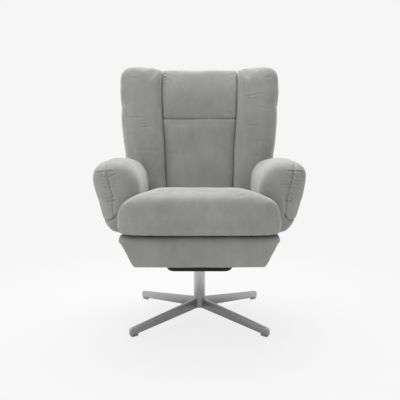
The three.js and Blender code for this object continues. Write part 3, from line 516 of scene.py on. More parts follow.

# %% [markdown]
# ## Metal, plastic and wood
# The legs and the column are brushed steel: fine lines run along each piece, so a
# highlight is drawn out across them. The hidden frame has a dull black powder coat. The tray
# is moulded black plastic, the glides grey plastic, the arm frames plywood, and the bearings nylon.

# %% Brushed steel
def brushed_steel(name, stretch, turn=(0, 0, 0), base=(0.39, 0.39, 0.40)):
    material, tree, shader = new_material(name, Metallic=1.0, Anisotropic=0.4)
    lines = grain(tree, 900.0, 3.0, stretch=stretch, turn=turn, roughness=0.65)
    clouds = grain(tree, 14.0, 3.0)
    colour = ramp(tree, lines, 0.3, 0.7, tuple(0.9 * c for c in base), tuple(1.07 * c for c in base))
    stains = ramp(tree, clouds, 0.3, 0.75, (0.93, 0.93, 0.93), (1.0, 1.0, 1.0))
    tree.links.new(blend_colours(tree, colour, stains, 1.0, "MULTIPLY"), shader.inputs["Base Color"])
    rough = add(tree, "ShaderNodeMapRange",
                {"Value": lines, "From Min": 0.3, "From Max": 0.7, "To Min": 0.27, "To Max": 0.42})
    tree.links.new(rough.outputs["Result"], shader.inputs["Roughness"])
    bumps(tree, shader, [(lines, 0.12, 0.12)])
    return material


leg_finishes = [brushed_steel("brushed_leg_a", (0.02, 1, 1), (0, 0, -math.pi / 4)),
                brushed_steel("brushed_leg_b", (0.02, 1, 1), (0, 0, math.pi / 4))]
column_finish = brushed_steel("brushed_column", (1, 1, 0.02), base=(0.47, 0.47, 0.48))


# %% Coats, plastics, wood and felt
def plain_finish(name, dark, light, roughness, grain_size, bump, gloss=0.5):
    """A finish with fine grain: two close colours, a rough value that varies, and a bump."""
    material, tree, shader = new_material(name, Specular_IOR_Level=gloss)
    fine = grain(tree, grain_size, 3.0)
    wide = grain(tree, 11.0, 3.0)
    colour = ramp(tree, fine, 0.25, 0.75, dark, light)
    dust = ramp(tree, wide, 0.35, 0.8, (0.94, 0.94, 0.94), (1.08, 1.08, 1.08))
    tree.links.new(blend_colours(tree, colour, dust, 1.0, "MULTIPLY"), shader.inputs["Base Color"])
    rough = add(tree, "ShaderNodeMapRange", {"Value": wide, "From Min": 0.3, "From Max": 0.7,
                                             "To Min": roughness - 0.06, "To Max": roughness + 0.06})
    tree.links.new(rough.outputs["Result"], shader.inputs["Roughness"])
    bumps(tree, shader, [(fine, bump, 0.3)])
    return material


def plywood(name):
    """Thin glued layers on the edges and long grain on the faces."""
    material, tree, shader = new_material(name, Roughness=0.62)
    place = add(tree, "ShaderNodeTexCoord").outputs["Object"]
    layers = add(tree, "ShaderNodeTexWave", {"Vector": place, "Scale": 105.0, "Distortion": 0.6,
                                             "Detail": 2.0, "Detail Scale": 1.0},
                 wave_type="BANDS", bands_direction="X").outputs["Fac"]
    fibres = grain(tree, 140.0, 4.0, stretch=(1, 0.06, 0.6), roughness=0.6)
    face = ramp(tree, fibres, 0.3, 0.7, (0.36, 0.22, 0.11), (0.56, 0.39, 0.22))
    edge = ramp(tree, layers, 0.4, 0.6, (0.62, 0.58, 0.55), (1.0, 1.0, 1.0))
    tree.links.new(blend_colours(tree, face, edge, 0.5, "MULTIPLY"), shader.inputs["Base Color"])
    bumps(tree, shader, [(fibres, 0.2, 0.3)])
    return material


coat = plain_finish("powder_coat", (0.022, 0.023, 0.025), (0.034, 0.035, 0.038), 0.5, 420.0, 0.18)
black = plain_finish("moulded_black", (0.009, 0.0095, 0.010), (0.016, 0.0165, 0.017), 0.52, 650.0, 0.2,
                     gloss=0.25)
dust_cloth = plain_finish("dust_cloth", (0.012, 0.012, 0.013), (0.030, 0.030, 0.032), 0.92, 800.0, 0.6)
nylon = plain_finish("nylon", (0.62, 0.60, 0.54), (0.70, 0.68, 0.62), 0.42, 300.0, 0.1)
felt = plain_finish("felt", (0.13, 0.12, 0.105), (0.24, 0.22, 0.19), 0.95, 260.0, 0.7)
wood = plywood("plywood")


def finish(obj, material):
    """Give every face of an object one material."""
    obj.data.materials.clear()
    obj.data.materials.append(material)
    obj.data.polygons.foreach_set("material_index", [0] * len(obj.data.polygons))
    return obj


slot_finish = {"upholstery": cloth_finish, "base_steel": column_finish, "black_plastic": black,
               "bearing_plastic": nylon, "plywood": wood, "felt": felt, "frame_steel": coat}
node_slot = {row["node"]: row["material_slot"] for row in frame["record"]["subparts"]}
for name, obj in frame["nodes"].items():
    finish(obj, slot_finish[node_slot[name]])
finish(frame["nodes"]["underside_cover"], dust_cloth)
glide_grey = plain_finish("glide_grey", (0.20, 0.20, 0.205), (0.27, 0.27, 0.275), 0.5, 500.0, 0.15)
for name in ("front_left", "front_right", "rear_left", "rear_right"):
    finish(frame["nodes"][f"glide_{name}"], glide_grey)
print(len(node_slot), "frame pieces have their finishes")

# %% [markdown]
# ## Putting a piece on its body
# The chair moves: it swivels, the back reclines, the head section tilts and the footrest
# swings out. So each new piece rides on one body of the frame and stands for the plain
# solids there. A cover that spans the head joint can't ride on one body, and here it rides
# on none. The stretch where it would bend, from below the hinge to above it, is only given
# as two heights.

# %% Dressing a piece
BEND_START, BEND_END = 386, 496


def place_piece(obj, body, slot, *nodes):
    """Let a finished piece ride on its body and hide the frame pieces it stands for; slot is not used."""
    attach(obj, body)
    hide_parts(*nodes)


def dress(cover, fullness, body, *nodes, angle=None):
    """Shade a cover, give it the velour and put it on its body."""
    smooth(cover, angle)
    finish(cover, cloth_finish)
    place_piece(cover, body, "upholstery", *nodes)


def dress_over_head_joint(cover, fullness, *nodes):
    """Shade a cover that spans the head joint, give it the velour, fix its place and hide its frame
    pieces; it rides on no body and doesn't bend.
    """
    smooth(cover)
    finish(cover, cloth_finish)
    tuple(on_back(0, HEAD_AXIS[0], BEND_START) * MM)
    tuple(on_back(0, HEAD_AXIS[0], BEND_END) * MM)
    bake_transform(cover)
    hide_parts(*nodes)


def work_over(cover, height, size, seed, creases=()):
    """Slow swells, and short creases whose points are given as x, d and h."""
    p = points_of(cover)
    amount = unevenness(p, height, size, seed)
    for rows, depth, width in creases:
        amount += crease(p, laid_on(cover, [on_back(*row) for row in rows], 12), depth, width)
    shift_along_normals(cover, amount)


# %% [markdown]
# ## The seat cushion
# The cushion is the fullest piece. It is wide in front of the arms and narrower between them,
# so from above it has the shape of a T. Its crown is highest behind the front edge, and the
# front rolls down to a sewn edge. It starts as a cube that is drawn in to a rounded cushion.
# The T is cut with a second shape, and then the cover is filled.

# %% Seat cushion
def soft_box(name, half, up, down, plan_power, section_power, cuts):
    """A cube whose points are drawn in towards a rounded cushion about the origin."""
    bpy.ops.mesh.primitive_cube_add(size=2)
    obj = bpy.context.object
    obj.name = name
    bpy.ops.object.mode_set(mode="EDIT")
    bpy.ops.mesh.select_all(action="SELECT")
    bpy.ops.mesh.subdivide(number_cuts=cuts)
    bpy.ops.object.mode_set(mode="OBJECT")
    p = points_of(obj) * MM
    p = 0.35 * p + 0.65 * np.sin(p * math.pi / 2)
    plan = (np.abs(p[:, 0]) ** plan_power + np.abs(p[:, 1]) ** plan_power) ** (1 / plan_power)
    size = (plan**section_power + np.abs(p[:, 2]) ** section_power) ** (1 / section_power)
    height = np.where(p[:, 2] > 0, up, down)
    out = np.stack([half[0] * p[:, 0], half[1] * p[:, 1], height * p[:, 2]], axis=-1)
    set_points(obj, out / size[:, None])
    return obj


CUSHION_FLOOR, CUSHION_WAIST, CUSHION_CROWN, CUSHION_BELLY = 400.0, 431.0, 104.0, 88.0
CUSHION_HALF_WIDTH, CUSHION_HALF_DEPTH, CUSHION_MIDDLE = 289.0, 248.0, -138.0
REAR_SLOPE, SLOPE_PIVOT = 0.14, -250.0
cushion = soft_box("seat_cushion_cover", (CUSHION_HALF_WIDTH, CUSHION_HALF_DEPTH), CUSHION_CROWN,
                   CUSHION_BELLY, 7.0, 2.6, 28)
crown = points_of(cushion)
across = np.abs(crown[:, 0]) / (CUSHION_HALF_WIDTH + 1)
along = np.abs(crown[:, 1]) / (CUSHION_HALF_DEPTH + 1)
domed = np.clip(1 - across**6.0, 0, 1) ** 0.55 * np.clip(1 - along**6.0, 0, 1) ** 0.3
near_edge = rise(crown[:, 2], 0, 0.3 * CUSHION_CROWN) ** 0.5
crown[:, 2] = np.where(crown[:, 2] > 0, CUSHION_CROWN * domed * near_edge, crown[:, 2])
crown[:, 1] += CUSHION_MIDDLE
crown[:, 2] += CUSHION_WAIST
lift = np.clip(crown[:, 2] - CUSHION_WAIST, 0, None) / 110
crown[:, 2] -= REAR_SLOPE * lift * (crown[:, 1] - SLOPE_PIVOT)
set_points(cushion, crown)

# From above the cushion is a T: the rear of the shape follows the leaning back
ABOVE_ALL = 700.0
tongue = [(-400, -420), (400, -420), (400, -291), (226, -291), (206, -283), (203, -262),
          (203, 84), (-203, 84), (-203, -262), (-206, -283), (-226, -291), (-400, -291)]
shape = [(x, y, z) for z in (CUSHION_FLOOR, ABOVE_ALL) for x, y in tongue]
shape = [(x, y + (z - CUSHION_FLOOR) * math.tan(LEAN) * (y > 0), z) for x, y, z in shape]
turns = len(tongue)
walls = [(i, (i + 1) % turns, turns + (i + 1) % turns, turns + i) for i in range(turns)]
cutter = mesh_from("tongue", shape, walls + [tuple(range(turns))[::-1],
                                             tuple(range(turns, 2 * turns))])
face_outwards(cutter)
apply_modifier(cushion, "tee", "BOOLEAN", operation="INTERSECT", solver="EXACT", object=cutter)
bpy.data.objects.remove(cutter)
even_mesh(cushion, 6.0, 5)


def cushion_grip(p):
    """The underside, the sides between the arms and the rear stay where they are."""
    under = 1.0 * (p[:, 2] < CUSHION_FLOOR + 9)
    between_arms = 1.0 * ((np.abs(p[:, 0]) > 196) & (p[:, 1] > -285) & (p[:, 2] < 480))
    rear = 1.0 * (p[:, 1] > 70)
    return np.maximum.reduce([under, between_arms, rear])


fill(cushion, cushion_grip, cap=9.0, slack=0.0, calm=3)
finer(cushion)

# The lip in front of the body hangs a little lower and nearly closes the gap above the footrest
LIP_SAG = 5.5
p = points_of(cushion)
overhang = fall(p[:, 1], -316, 14) * fall(p[:, 2], 430, 22)
p[:, 2] -= LIP_SAG * overhang
set_points(cushion, p)
print("cushion has", len(cushion.data.polygons), "faces")

# %% [markdown]
# The front edge of the cushion has a sewn seam a few millimetres above its underside, where
# the top panel meets the bottom panel. The cloth puckers a little along it.

# %% Seat cushion seams
p = points_of(cushion)
seam_z = 404.0
front_line = [(-203, -284, seam_z), (-262, -292, seam_z), (-281, -320, seam_z), (-281, -352, seam_z),
              (-262, -377, seam_z), (-200, -385, seam_z), (0, -388, seam_z), (200, -385, seam_z),
              (262, -377, seam_z), (281, -352, seam_z), (281, -320, seam_z), (262, -292, seam_z),
              (203, -284, seam_z)]
front_line = curve_through(front_line, 60)
amount = groove(p, front_line, 3.2, 4.0)
amount += gathers(p, front_line, 0.7, 34.0, 22.0, 60.0, 900.0)
amount += unevenness(p, 0.9, 130.0, 3) * (p[:, 2] > 440)
for rows, deep in (([(-160, -320, 534), (-130, -318, 537), (-100, -310, 540)], 0.9),
                   ([(110, -352, 520), (140, -346, 522), (170, -334, 526)], 0.9),
                   ([(-30, -310, 540), (10, -318, 540), (60, -322, 538)], 0.7),
                   ([(-262, -345, 474), (-248, -345, 494), (-226, -338, 508)], 0.9),
                   ([(222, -330, 512), (246, -338, 498), (262, -345, 476)], 1.0)):
    amount += crease(p, laid_on(cushion, rows, 12), deep, 6.0)
shift_along_normals(cushion, amount)
dress(cushion, 0.75, "seat", "seat_cushion")
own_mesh(cushion)

# %% [markdown]
# ## The arms
# Each arm is a roll with the section of a pear: narrow below, full above and leaning
# outward. The roll closes in front in a soft dome. The outline is drawn once and scaled
# about the middle of the roll on its way back.

# %% Arm shape
ARM_X, ARM_Z = 207.0, 384.0
ARM_WIDTH, ARM_HEIGHT = 170.0, 254.0
ARM_CENTRE = (ARM_X + 0.32 * ARM_WIDTH, ARM_Z + 0.53 * ARM_HEIGHT)
ARM_FRONT, ARM_REAR, ARM_DOME = -285.0, 88.0, 96.0
arm_outline = [
    (0.11, 0.006), (0.30, -0.004), (0.50, 0.0), (0.64, 0.032), (0.745, 0.115), (0.795, 0.21),
    (0.838, 0.335), (0.895, 0.469), (0.95, 0.602), (1.0, 0.732), (1.014, 0.83),
    (0.972, 0.909), (0.855, 0.965), (0.68, 0.992), (0.488, 1.0), (0.324, 0.984),
    (0.194, 0.933), (0.10, 0.85), (0.035, 0.74), (0.006, 0.614), (0.0, 0.457), (0.024, 0.299),
    (0.053, 0.142), (0.07, 0.055)]
# Along the dome: share of its depth, then the size inward, outward, upward and downward
arm_dome = [(0.0, 0.22, 0.20, 0.22, 0.42), (0.012, 0.40, 0.38, 0.38, 0.66),
            (0.04, 0.58, 0.57, 0.56, 0.83), (0.09, 0.72, 0.70, 0.70, 0.92),
            (0.18, 0.83, 0.81, 0.81, 0.97), (0.37, 0.93, 0.915, 0.915, 0.995),
            (0.66, 0.985, 0.975, 0.97, 1.0), (1.0, 1.0, 1.0, 0.985, 1.0)]
outline = curve_through(arm_outline, 110, closed=True)


def arm_ring(y, inward, outward, upward, downward, slant):
    x = ARM_X + ARM_WIDTH * outline[:, 0] - ARM_CENTRE[0]
    z = ARM_Z + ARM_HEIGHT * outline[:, 1] - ARM_CENTRE[1]
    x = ARM_CENTRE[0] + x * np.where(x < 0, inward, outward)
    z = ARM_CENTRE[1] + z * np.where(z < 0, downward, upward)
    return np.stack([x, y + slant * (z - BACK_FOOT[1]), z], axis=-1)


rings = []
for share in np.linspace(0, 1, 26) ** 1.6:
    rings.append(arm_ring(ARM_FRONT + share * ARM_DOME, *columns_at(arm_dome, [share])[0], 0.0))
for share, size, top in ((0.2, 1.0, 0.97), (0.45, 0.998, 0.945), (0.7, 0.994, 0.91), (0.9, 0.985, 0.875),
                         (0.97, 0.965, 0.85), (1.0, 0.92, 0.8)):
    y = ARM_FRONT + ARM_DOME + share * (ARM_REAR - ARM_FRONT - ARM_DOME)
    rings.append(arm_ring(y, size, size, top, size, math.tan(LEAN) * share))
arm = skin("arm_cover_right", rings)
even_mesh(arm, 5.0, 9)


def arm_grip(p):
    """Held below, at the rear, and where the arm presses on the cushion."""
    under = fall(p[:, 2], ARM_Z + 22, 14)
    rear = rise(p[:, 1] - math.tan(LEAN) * (p[:, 2] - BACK_FOOT[1]), 50, 30)
    inner = fall(p[:, 0], 250, 34) * fall(p[:, 2], 610, 100)
    return np.maximum.reduce([under, rear, inner])


fill(arm, arm_grip, cap=7.5, slack=0.005, calm=3)
finer(arm)
print("arm has", len(arm.data.polygons), "faces")

# %% [markdown]
# The seam of the arm joins the outer panel to the panel that wraps over the top. It comes
# forward along the outer shoulder and runs down the front. The longer outer edge was
# gathered into it in three places, and near its foot a fold crosses the arm.

# %% Arm seams and gathers
FRONT_SEAM = {
    "right": [(333, 60, 632), (334, -80, 634), (335, -200, 636), (335, -250, 633), (334, -268, 624),
              (333, -277, 614), (328, -281, 607), (325, -284, 595), (323, -285, 579), (317, -286, 564),
              (312, -287, 542), (310, -287, 518), (305, -287, 495), (304, -286, 470), (301, -285, 452),
              (298, -283, 443)],
    "left": [(333, 60, 632), (333, -80, 634), (332, -200, 637), (330, -250, 635), (329, -268, 625),
             (329, -278, 613), (325, -282, 604), (321, -284, 584), (315, -286, 567), (310, -287, 540),
             (307, -287, 515), (305, -286, 490), (301, -285, 457), (297, -283, 444)]}
# Gathers beside the seam: a line of points, its depth and its width
ARM_FOLDS = {
    "right": [([(303, -281, 605), (315, -281, 610), (329, -281, 609)], 3.2, 3.0),
              ([(329, -281, 611), (349, -272, 606), (366, -262, 601)], 3.4, 3.0),
              ([(294, -282, 597), (307, -284, 590), (323, -285, 581)], 2.6, 3.2),
              ([(328, -284, 592), (337, -281, 586), (347, -278, 580)], 2.4, 3.2),
              ([(286, -284, 566), (300, -285, 568), (316, -285, 564)], 1.7, 3.0),
              ([(284, -284, 557), (300, -285, 559), (314, -285, 555)], 2.0, 3.0),
              ([(288, -284, 548), (302, -285, 550), (313, -285, 547)], 1.5, 3.0),
              ([(320, -285, 567), (334, -282, 572), (348, -279, 568)], 1.8, 3.0),
              ([(318, -285, 558), (334, -282, 560), (349, -279, 556)], 1.9, 3.0),
              ([(316, -285, 547), (332, -282, 547), (346, -279, 541)], 1.7, 3.0),
              ([(286, -284, 522), (298, -285, 520), (310, -286, 516)], 2.0, 3.0),
              ([(290, -284, 510), (299, -285, 509), (309, -286, 507)], 2.4, 3.0),
              ([(294, -284, 500), (309, -285, 502), (339, -280, 491)], 3.6, 3.2),
              ([(311, -286, 522), (324, -284, 524), (338, -280, 518)], 1.8, 3.0),
              ([(310, -286, 511), (324, -284, 510), (338, -280, 504)], 2.2, 3.0)],
    "left": [([(294, -281, 603), (310, -281, 610), (326, -281, 609)], 3.2, 3.0),
             ([(327, -281, 607), (346, -272, 603), (363, -262, 597)], 3.4, 3.0),
             ([(286, -282, 598), (301, -284, 590), (317, -285, 582)], 2.8, 3.2),
             ([(322, -284, 583), (330, -282, 586), (340, -278, 589)], 2.2, 3.2),
             ([(288, -284, 571), (300, -285, 568), (316, -285, 570)], 1.8, 3.0),
             ([(282, -284, 562), (298, -285, 560), (314, -285, 561)], 2.0, 3.0),
             ([(284, -284, 550), (298, -285, 552), (312, -285, 549)], 1.8, 3.0),
             ([(319, -285, 569), (330, -283, 568), (342, -280, 571)], 1.7, 3.0),
             ([(317, -285, 559), (330, -283, 560), (342, -280, 558)], 2.0, 3.0),
             ([(315, -285, 548), (328, -283, 547), (342, -280, 550)], 1.7, 3.0),
             ([(286, -284, 526), (298, -285, 523), (309, -286, 526)], 1.9, 3.0),
             ([(284, -284, 516), (297, -285, 514), (308, -286, 517)], 2.2, 3.0),
             ([(281, -283, 506), (294, -285, 503), (308, -286, 503)], 3.6, 3.2),
             ([(310, -286, 524), (324, -284, 521), (338, -280, 524)], 1.9, 3.0),
             ([(309, -286, 513), (324, -284, 509), (340, -280, 511)], 2.2, 3.0),
             ([(308, -286, 502), (322, -284, 498), (336, -280, 494)], 2.6, 3.2)]}
# The fold across the foot of each arm: along the outer side, then round to the cushion
FOOT_FOLD = {
    "right": [(336, 60, 446), (338, -40, 440), (337, -170, 433), (334, -240, 430), (328, -266, 430),
              (320, -275, 431), (311, -279, 435), (304, -281, 442), (298, -281, 452)],
    "left": [(336, 60, 446), (338, -40, 440), (337, -170, 433), (332, -240, 430), (324, -265, 430),
             (314, -275, 433), (304, -280, 438), (293, -281, 444), (287, -281, 453)]}
arm_left = mirror_copy(arm, "arm_cover_left")
for side, piece, flip in (("right", arm, 1), ("left", arm_left, -1)):
    own = points_of(piece)
    seam = laid_on(piece, np.array(FRONT_SEAM[side]) * (flip, 1, 1), 80)
    amount = groove(own, seam, 5.0, 3.4) + groove(own, seam, 2.4, 12.0)
    amount *= np.clip(1.6 - (own[:, 1] + 285) / 60, 0.45, 1)
    for rows, depth, width in ARM_FOLDS[side]:
        amount += crease(own, laid_on(piece, np.array(rows) * (flip, 1, 1), 12), depth, width)
    fold = laid_on(piece, np.array(FOOT_FOLD[side]) * (flip, 1, 1), 60)
    distance, place, _ = near_line(own, fold)
    fade_in = rise(place, 0, 30)
    in_front = 0.35 + 0.65 * fall(own[:, 1], -250, 20)
    amount += fade_in * in_front * (1.4 * np.exp(-(((distance - 9) / 7) ** 2)) * (own[:, 2] > 440)
                                    - 7.5 * np.exp(-((distance / 3.3) ** 2)))
    amount += unevenness(own * (flip, 1, 1), 1.0, 110.0, 8 if flip > 0 else 9)
    shift_along_normals(piece, amount)
    dress(piece, 0.65, "seat", f"arm_pad_{side}")

# %% [markdown]
# ## The wings
# Two wings frame the back from the seat to the top. The head section tilts forward inside the
# cover, and the cloth stretches over that joint instead of parting, so each wing is one
# piece over both the backrest and the headrest.

# %% Wing shape
wing_profile = [(-14, 136, 290), (120, 141, 300), (241, 147, 311), (333, 152, 323), (400, 156, 331),
                (448, 158, 334), (472, 159.5, 333), (496, 160.5, 336), (530, 162, 341), (570, 162, 341)]
wing_section = [(0, 1), (0, 0.62), (0, 0.16), (0.008, 0.055), (0.035, 0.014), (0.20, 0.002), (0.48, 0),
                (0.70, 0.02), (0.86, 0.085), (0.96, 0.21), (1, 0.38), (1, 0.72), (0.985, 0.91),
                (0.94, 1), (0.5, 1.01)]
# Crown: share of the height above the last profile row, outer, seam, front, rear, dip shares
wing_crown = [(0.0, 1.0, 0.0, 0.0, 1.0, 0.0), (0.30, 0.997, 0.0, 0.01, 0.995, 0.3),
              (0.55, 0.975, 0.0, 0.035, 0.98, 0.55), (0.76, 0.93, 0.0, 0.08, 0.95, 0.76),
              (0.90, 0.865, 0.0, 0.15, 0.9, 0.92), (0.975, 0.79, 0.0, 0.25, 0.83, 1.0),
              (1.0, 0.70, 0.0, 0.36, 0.76, 1.0)]
WING_DEPTH, CROWN_FOOT, BACK_TOP, TOP_DIP, SEAM_GAP = 118.0, 570.0, 641.0, 16.0, 0.7
section = curve_through(wing_section, 84, closed=True)


def wing_ring(h, inner, outer, front=0.0, rear=1.0, dip=0.0):
    across, deep = section[:, 0], section[:, 1]
    x = inner + (outer - inner) * across
    d = WING_DEPTH * (front + (rear - front) * deep)
    level = np.clip(1 - h / 120, 0, 1)
    height = h + d * math.tan(LEAN) * level - TOP_DIP * dip * (1 - across) ** 2
    return on_back(x, d, height)


rings = []
for h in np.linspace(2, CROWN_FOOT, 54):
    inner, outer = columns_at(wing_profile, [h])[0]
    rings.append(wing_ring(h, inner + SEAM_GAP, outer))
inner_top, outer_top = wing_profile[-1][1] + SEAM_GAP, wing_profile[-1][2]
for share in np.linspace(0, 1, 14)[1:] ** 0.8:
    outer, inner, front, rear, dip = columns_at(wing_crown, [share])[0]
    span = outer_top - inner_top
    rings.append(wing_ring(CROWN_FOOT + share * (BACK_TOP - CROWN_FOOT), inner_top + span * inner,
                           inner_top + span * outer, front, rear, dip))
wing = skin("wing_cover_right", rings)
even_mesh(wing, 5.0, 4, LEAN)


def wing_grip(p):
    """Held along the seam, at the rear and at the foot."""
    d, h = back_depth_and_height(p)
    inner, _ = columns_at(wing_profile, h).T
    seam_side = fall(p[:, 0], inner + 8, 5) * rise(d, 12, 12)
    rear = rise(d - WING_DEPTH, -16, 10)
    foot = fall(p[:, 2], 420, 12)
    return np.maximum.reduce([seam_side, rear, foot])


fill(wing, wing_grip, cap=6.0, slack=0.003, calm=2)
finer(wing)
print("wing has", len(wing.data.polygons), "faces")

# %% [markdown]
# Where the head section bends, the cloth of each wing is drawn in at its outer edge and has
# a few level creases. They are cut into the mesh, so they show from every side.

# %% Wing creases
def wing_line(rows):
    """Points of a wing's front face, given as x and h."""
    return np.array([on_back(x, 0.0, h) for x, h in rows])


WING_FOLDS = {
    "right": [([(187, 495), (204, 497), (222, 499), (240, 505), (262, 509)], 1.5, 3.6),
              ([(192, 484), (206, 486), (218, 485), (236, 491)], 0.8, 4.0),
              ([(196, 370), (208, 371), (222, 370), (244, 377)], 1.2, 3.6),
              ([(272, 572), (290, 581), (302, 583), (318, 588)], 0.9, 5.0),
              ([(246, 446), (262, 449), (286, 445), (312, 447)], 0.8, 4.5),
              ([(300, 468), (314, 470), (328, 470)], 1.2, 4.5),
              ([(232, 300), (250, 305), (272, 302), (292, 303)], 0.8, 6.0),
              ([(210, 236), (232, 240), (250, 238)], 0.7, 6.0)],
    "left": [([(232, 405), (250, 404), (272, 408), (306, 404)], 1.4, 3.6),
             ([(204, 381), (218, 377), (232, 376), (262, 380)], 1.1, 3.6),
             ([(196, 369), (216, 366), (236, 363), (254, 367)], 0.9, 4.0),
             ([(222, 392), (240, 390), (258, 393)], 0.7, 4.0),
             ([(189, 264), (206, 268), (224, 266), (254, 268)], 0.8, 6.0),
             ([(268, 452), (290, 456), (306, 455), (326, 458)], 0.9, 4.5),
             ([(302, 470), (314, 471), (328, 469)], 1.1, 4.5),
             ([(270, 330), (290, 334), (306, 332)], 0.7, 6.0),
             ([(262, 570), (282, 578), (304, 580)], 0.8, 5.0)]}
wing_left = mirror_copy(wing, "wing_cover_left")
for side, piece, flip, seed in (("right", wing, 1, 21), ("left", wing_left, -1, 34)):
    own = points_of(piece)
    folded = own * (flip, 1, 1)
    total = unevenness(folded, 1.0, 120.0, seed)
    for rows, depth, width in WING_FOLDS[side]:
        total += crease(own, laid_on(piece, wing_line(rows) * (flip, 1, 1), 16), depth, width)
    shift_along_normals(piece, total)
    dress_over_head_joint(piece, 0.6, f"wing_lower_{side}", f"wing_upper_{side}")

# %% [markdown]
# ## The centre of the back
# Between the wings lie two pads. The lower one is a plain padded panel. The upper one is
# the head pillow: it is fuller, stands a little forward, and its rolled lower edge covers
# the joint between them.

# %% Centre pad and head pillow
CENTRE_FRONT, CENTRE_REAR, PILLOW_FRONT = 27.0, 75.0, 13.0
centre_section = [(-1, 1), (-1, 0.72), (-1, 0.24), (-0.992, 0.10), (-0.965, 0.045), (-0.8, 0.01), (0, 0),
                  (0.8, 0.01), (0.965, 0.045), (0.992, 0.10), (1, 0.24), (1, 0.72), (1, 1), (0.5, 1.0),
                  (0, 1.0), (-0.5, 1.0)]
centre = curve_through(centre_section, 110, closed=True)


def centre_ring(h, front, rear, size=1.0, tilt=0.0):
    half, _ = columns_at(wing_profile, [h])[0]
    x = (half - SEAM_GAP) * size * centre[:, 0]
    d = front + (rear - front) * centre[:, 1]
    return on_back(x, d, h + tilt * d * math.tan(LEAN))


rings = []
for h in np.linspace(1, 383, 42):
    forward = 11.0 * rise(h, 270, 112) ** 1.6
    rings.append(centre_ring(h, CENTRE_FRONT - forward, CENTRE_REAR, 1.0, max(0.0, 1 - h / 120)))
rings += [centre_ring(385, 16, 35), centre_ring(394, 15.5, 30), centre_ring(401, 15.5, 24, 0.998),
          centre_ring(405, 16.5, 20, 0.992)]
lower_pad = skin("back_centre_cover", rings)
even_mesh(lower_pad, 5.0, 4, LEAN)


def held_by_wings(p, front, margin):
    """How firmly a centre piece is held at its sides and rear, behind a margin from its front."""
    d, h = back_depth_and_height(p)
    half, _ = columns_at(wing_profile, h).T
    sides = rise(np.abs(p[:, 0]) - half, -9, 5) * rise(d - front, margin, 8)
    return np.maximum(sides, 1.0 * (d > CENTRE_REAR - 8))


def pad_grip(p):
    """Held by the wings, under the pillow and where it stands on the seat."""
    _, h = back_depth_and_height(p)
    return np.maximum.reduce([held_by_wings(p, CENTRE_FRONT, 4), rise(h, 376, 14), 1.0 * (p[:, 2] < 408)])


fill(lower_pad, pad_grip, cap=5.0, slack=0.0, calm=4)
finer(lower_pad)
work_over(lower_pad, 0.9, 130.0, 40,
          (([(-134, 27, 250), (-112, 25, 258), (-90, 25, 256)], 0.8, 8.0),
           ([(-140, 34, 60), (-118, 28, 74), (-100, 26, 92)], 1.2, 7.0)))
dress(lower_pad, 0.55, "backrest", "back_centre_pad")

# The foot of the pillow is part of a ball round the head hinge, so that it turns inside the back
PILLOW_BALL = 53.5
PILLOW_FOOT, PILLOW_TOP = 388.5, 631.0
pillow_rows = [(410, 14.8, 75, 0.996), (414, 13.4, 75, 1.0), (424, 12.6, 75, 1.0), (456, 13, 75, 1.0),
               (530, 15.5, 75, 1.0), (585, 24, 75, 1.0), (610, 32, 74, 1.0), (623, 40, 72, 1.0),
               (629, 47, 69, 0.998), (631, 54, 65, 0.992)]
rings = []
for h in (388.5, 390, 392.5, 395.5, 399, 402.5, 405.5, 408):
    reach = math.sqrt(PILLOW_BALL**2 - (HEAD_AXIS[1] - h) ** 2)
    share = (h - PILLOW_FOOT) / (410 - PILLOW_FOOT)
    rings.append(centre_ring(h, HEAD_AXIS[0] - reach, min(CENTRE_REAR, HEAD_AXIS[0] + reach),
                             0.955 + 0.04 * share**0.5))
for h in np.concatenate([np.linspace(410, 610, 36), np.linspace(614, PILLOW_TOP, 7)]):
    front, rear, size = columns_at(pillow_rows, [h])[0]
    rings.append(centre_ring(h, front, rear, size))
pillow = skin("head_pillow_cover", rings)
even_mesh(pillow, 5.0, 2, LEAN)


def pillow_grip(p):
    """Held by the wings, and at the ball of its foot."""
    _, h = back_depth_and_height(p)
    return np.maximum(held_by_wings(p, PILLOW_FRONT, 6), fall(h, 414, 5))


fill(pillow, pillow_grip, cap=6.0, slack=0.0, calm=5)
finer(pillow)
work_over(pillow, 1.0, 120.0, 50,
          (([(-158, 30, 607), (-148, 30, 606), (-138, 28, 607)], 1.4, 3.6),
           ([(-158, 28, 592), (-148, 26, 590), (-136, 24, 591)], 1.4, 3.6),
           ([(-158, 24, 578), (-146, 22, 576), (-134, 20, 577)], 1.0, 3.6),
           ([(134, 30, 603), (146, 30, 604), (158, 30, 602)], 1.2, 3.6),
           ([(112, 14, 434), (128, 14, 428), (146, 18, 424)], 1.2, 6.0),
           ([(-146, 18, 430), (-130, 14, 436), (-114, 14, 438)], 1.0, 6.0)))
dress(pillow, 0.7, "headrest", "head_pillow")

# %% [markdown]
# ## The rear of the back
# A single padded cover closes the back from behind. At the top it rolls over the head board
# to meet the pillow, and like the wings it spans the head joint.

# %% Rear cover
rear_section = [(-1, 0), (-0.5, 0), (0, 0), (0.5, 0), (1, 0), (0.995, 0.45), (0.96, 0.8), (0.85, 0.94),
                (0.4, 1), (0, 1.01), (-0.4, 1), (-0.85, 0.94), (-0.96, 0.8), (-0.995, 0.45)]
rear = curve_through(rear_section, 140, closed=True)
COVER_FRONT, COVER_DEPTH = 118.3, 25.0


def cover_ring(h, size, deep, level=0.0):
    _, outer = columns_at(wing_profile, [h])[0]
    d = COVER_FRONT + COVER_DEPTH * deep * rear[:, 1]
    return on_back((outer - 5) * size * rear[:, 0], d, h + level * d * math.tan(LEAN))


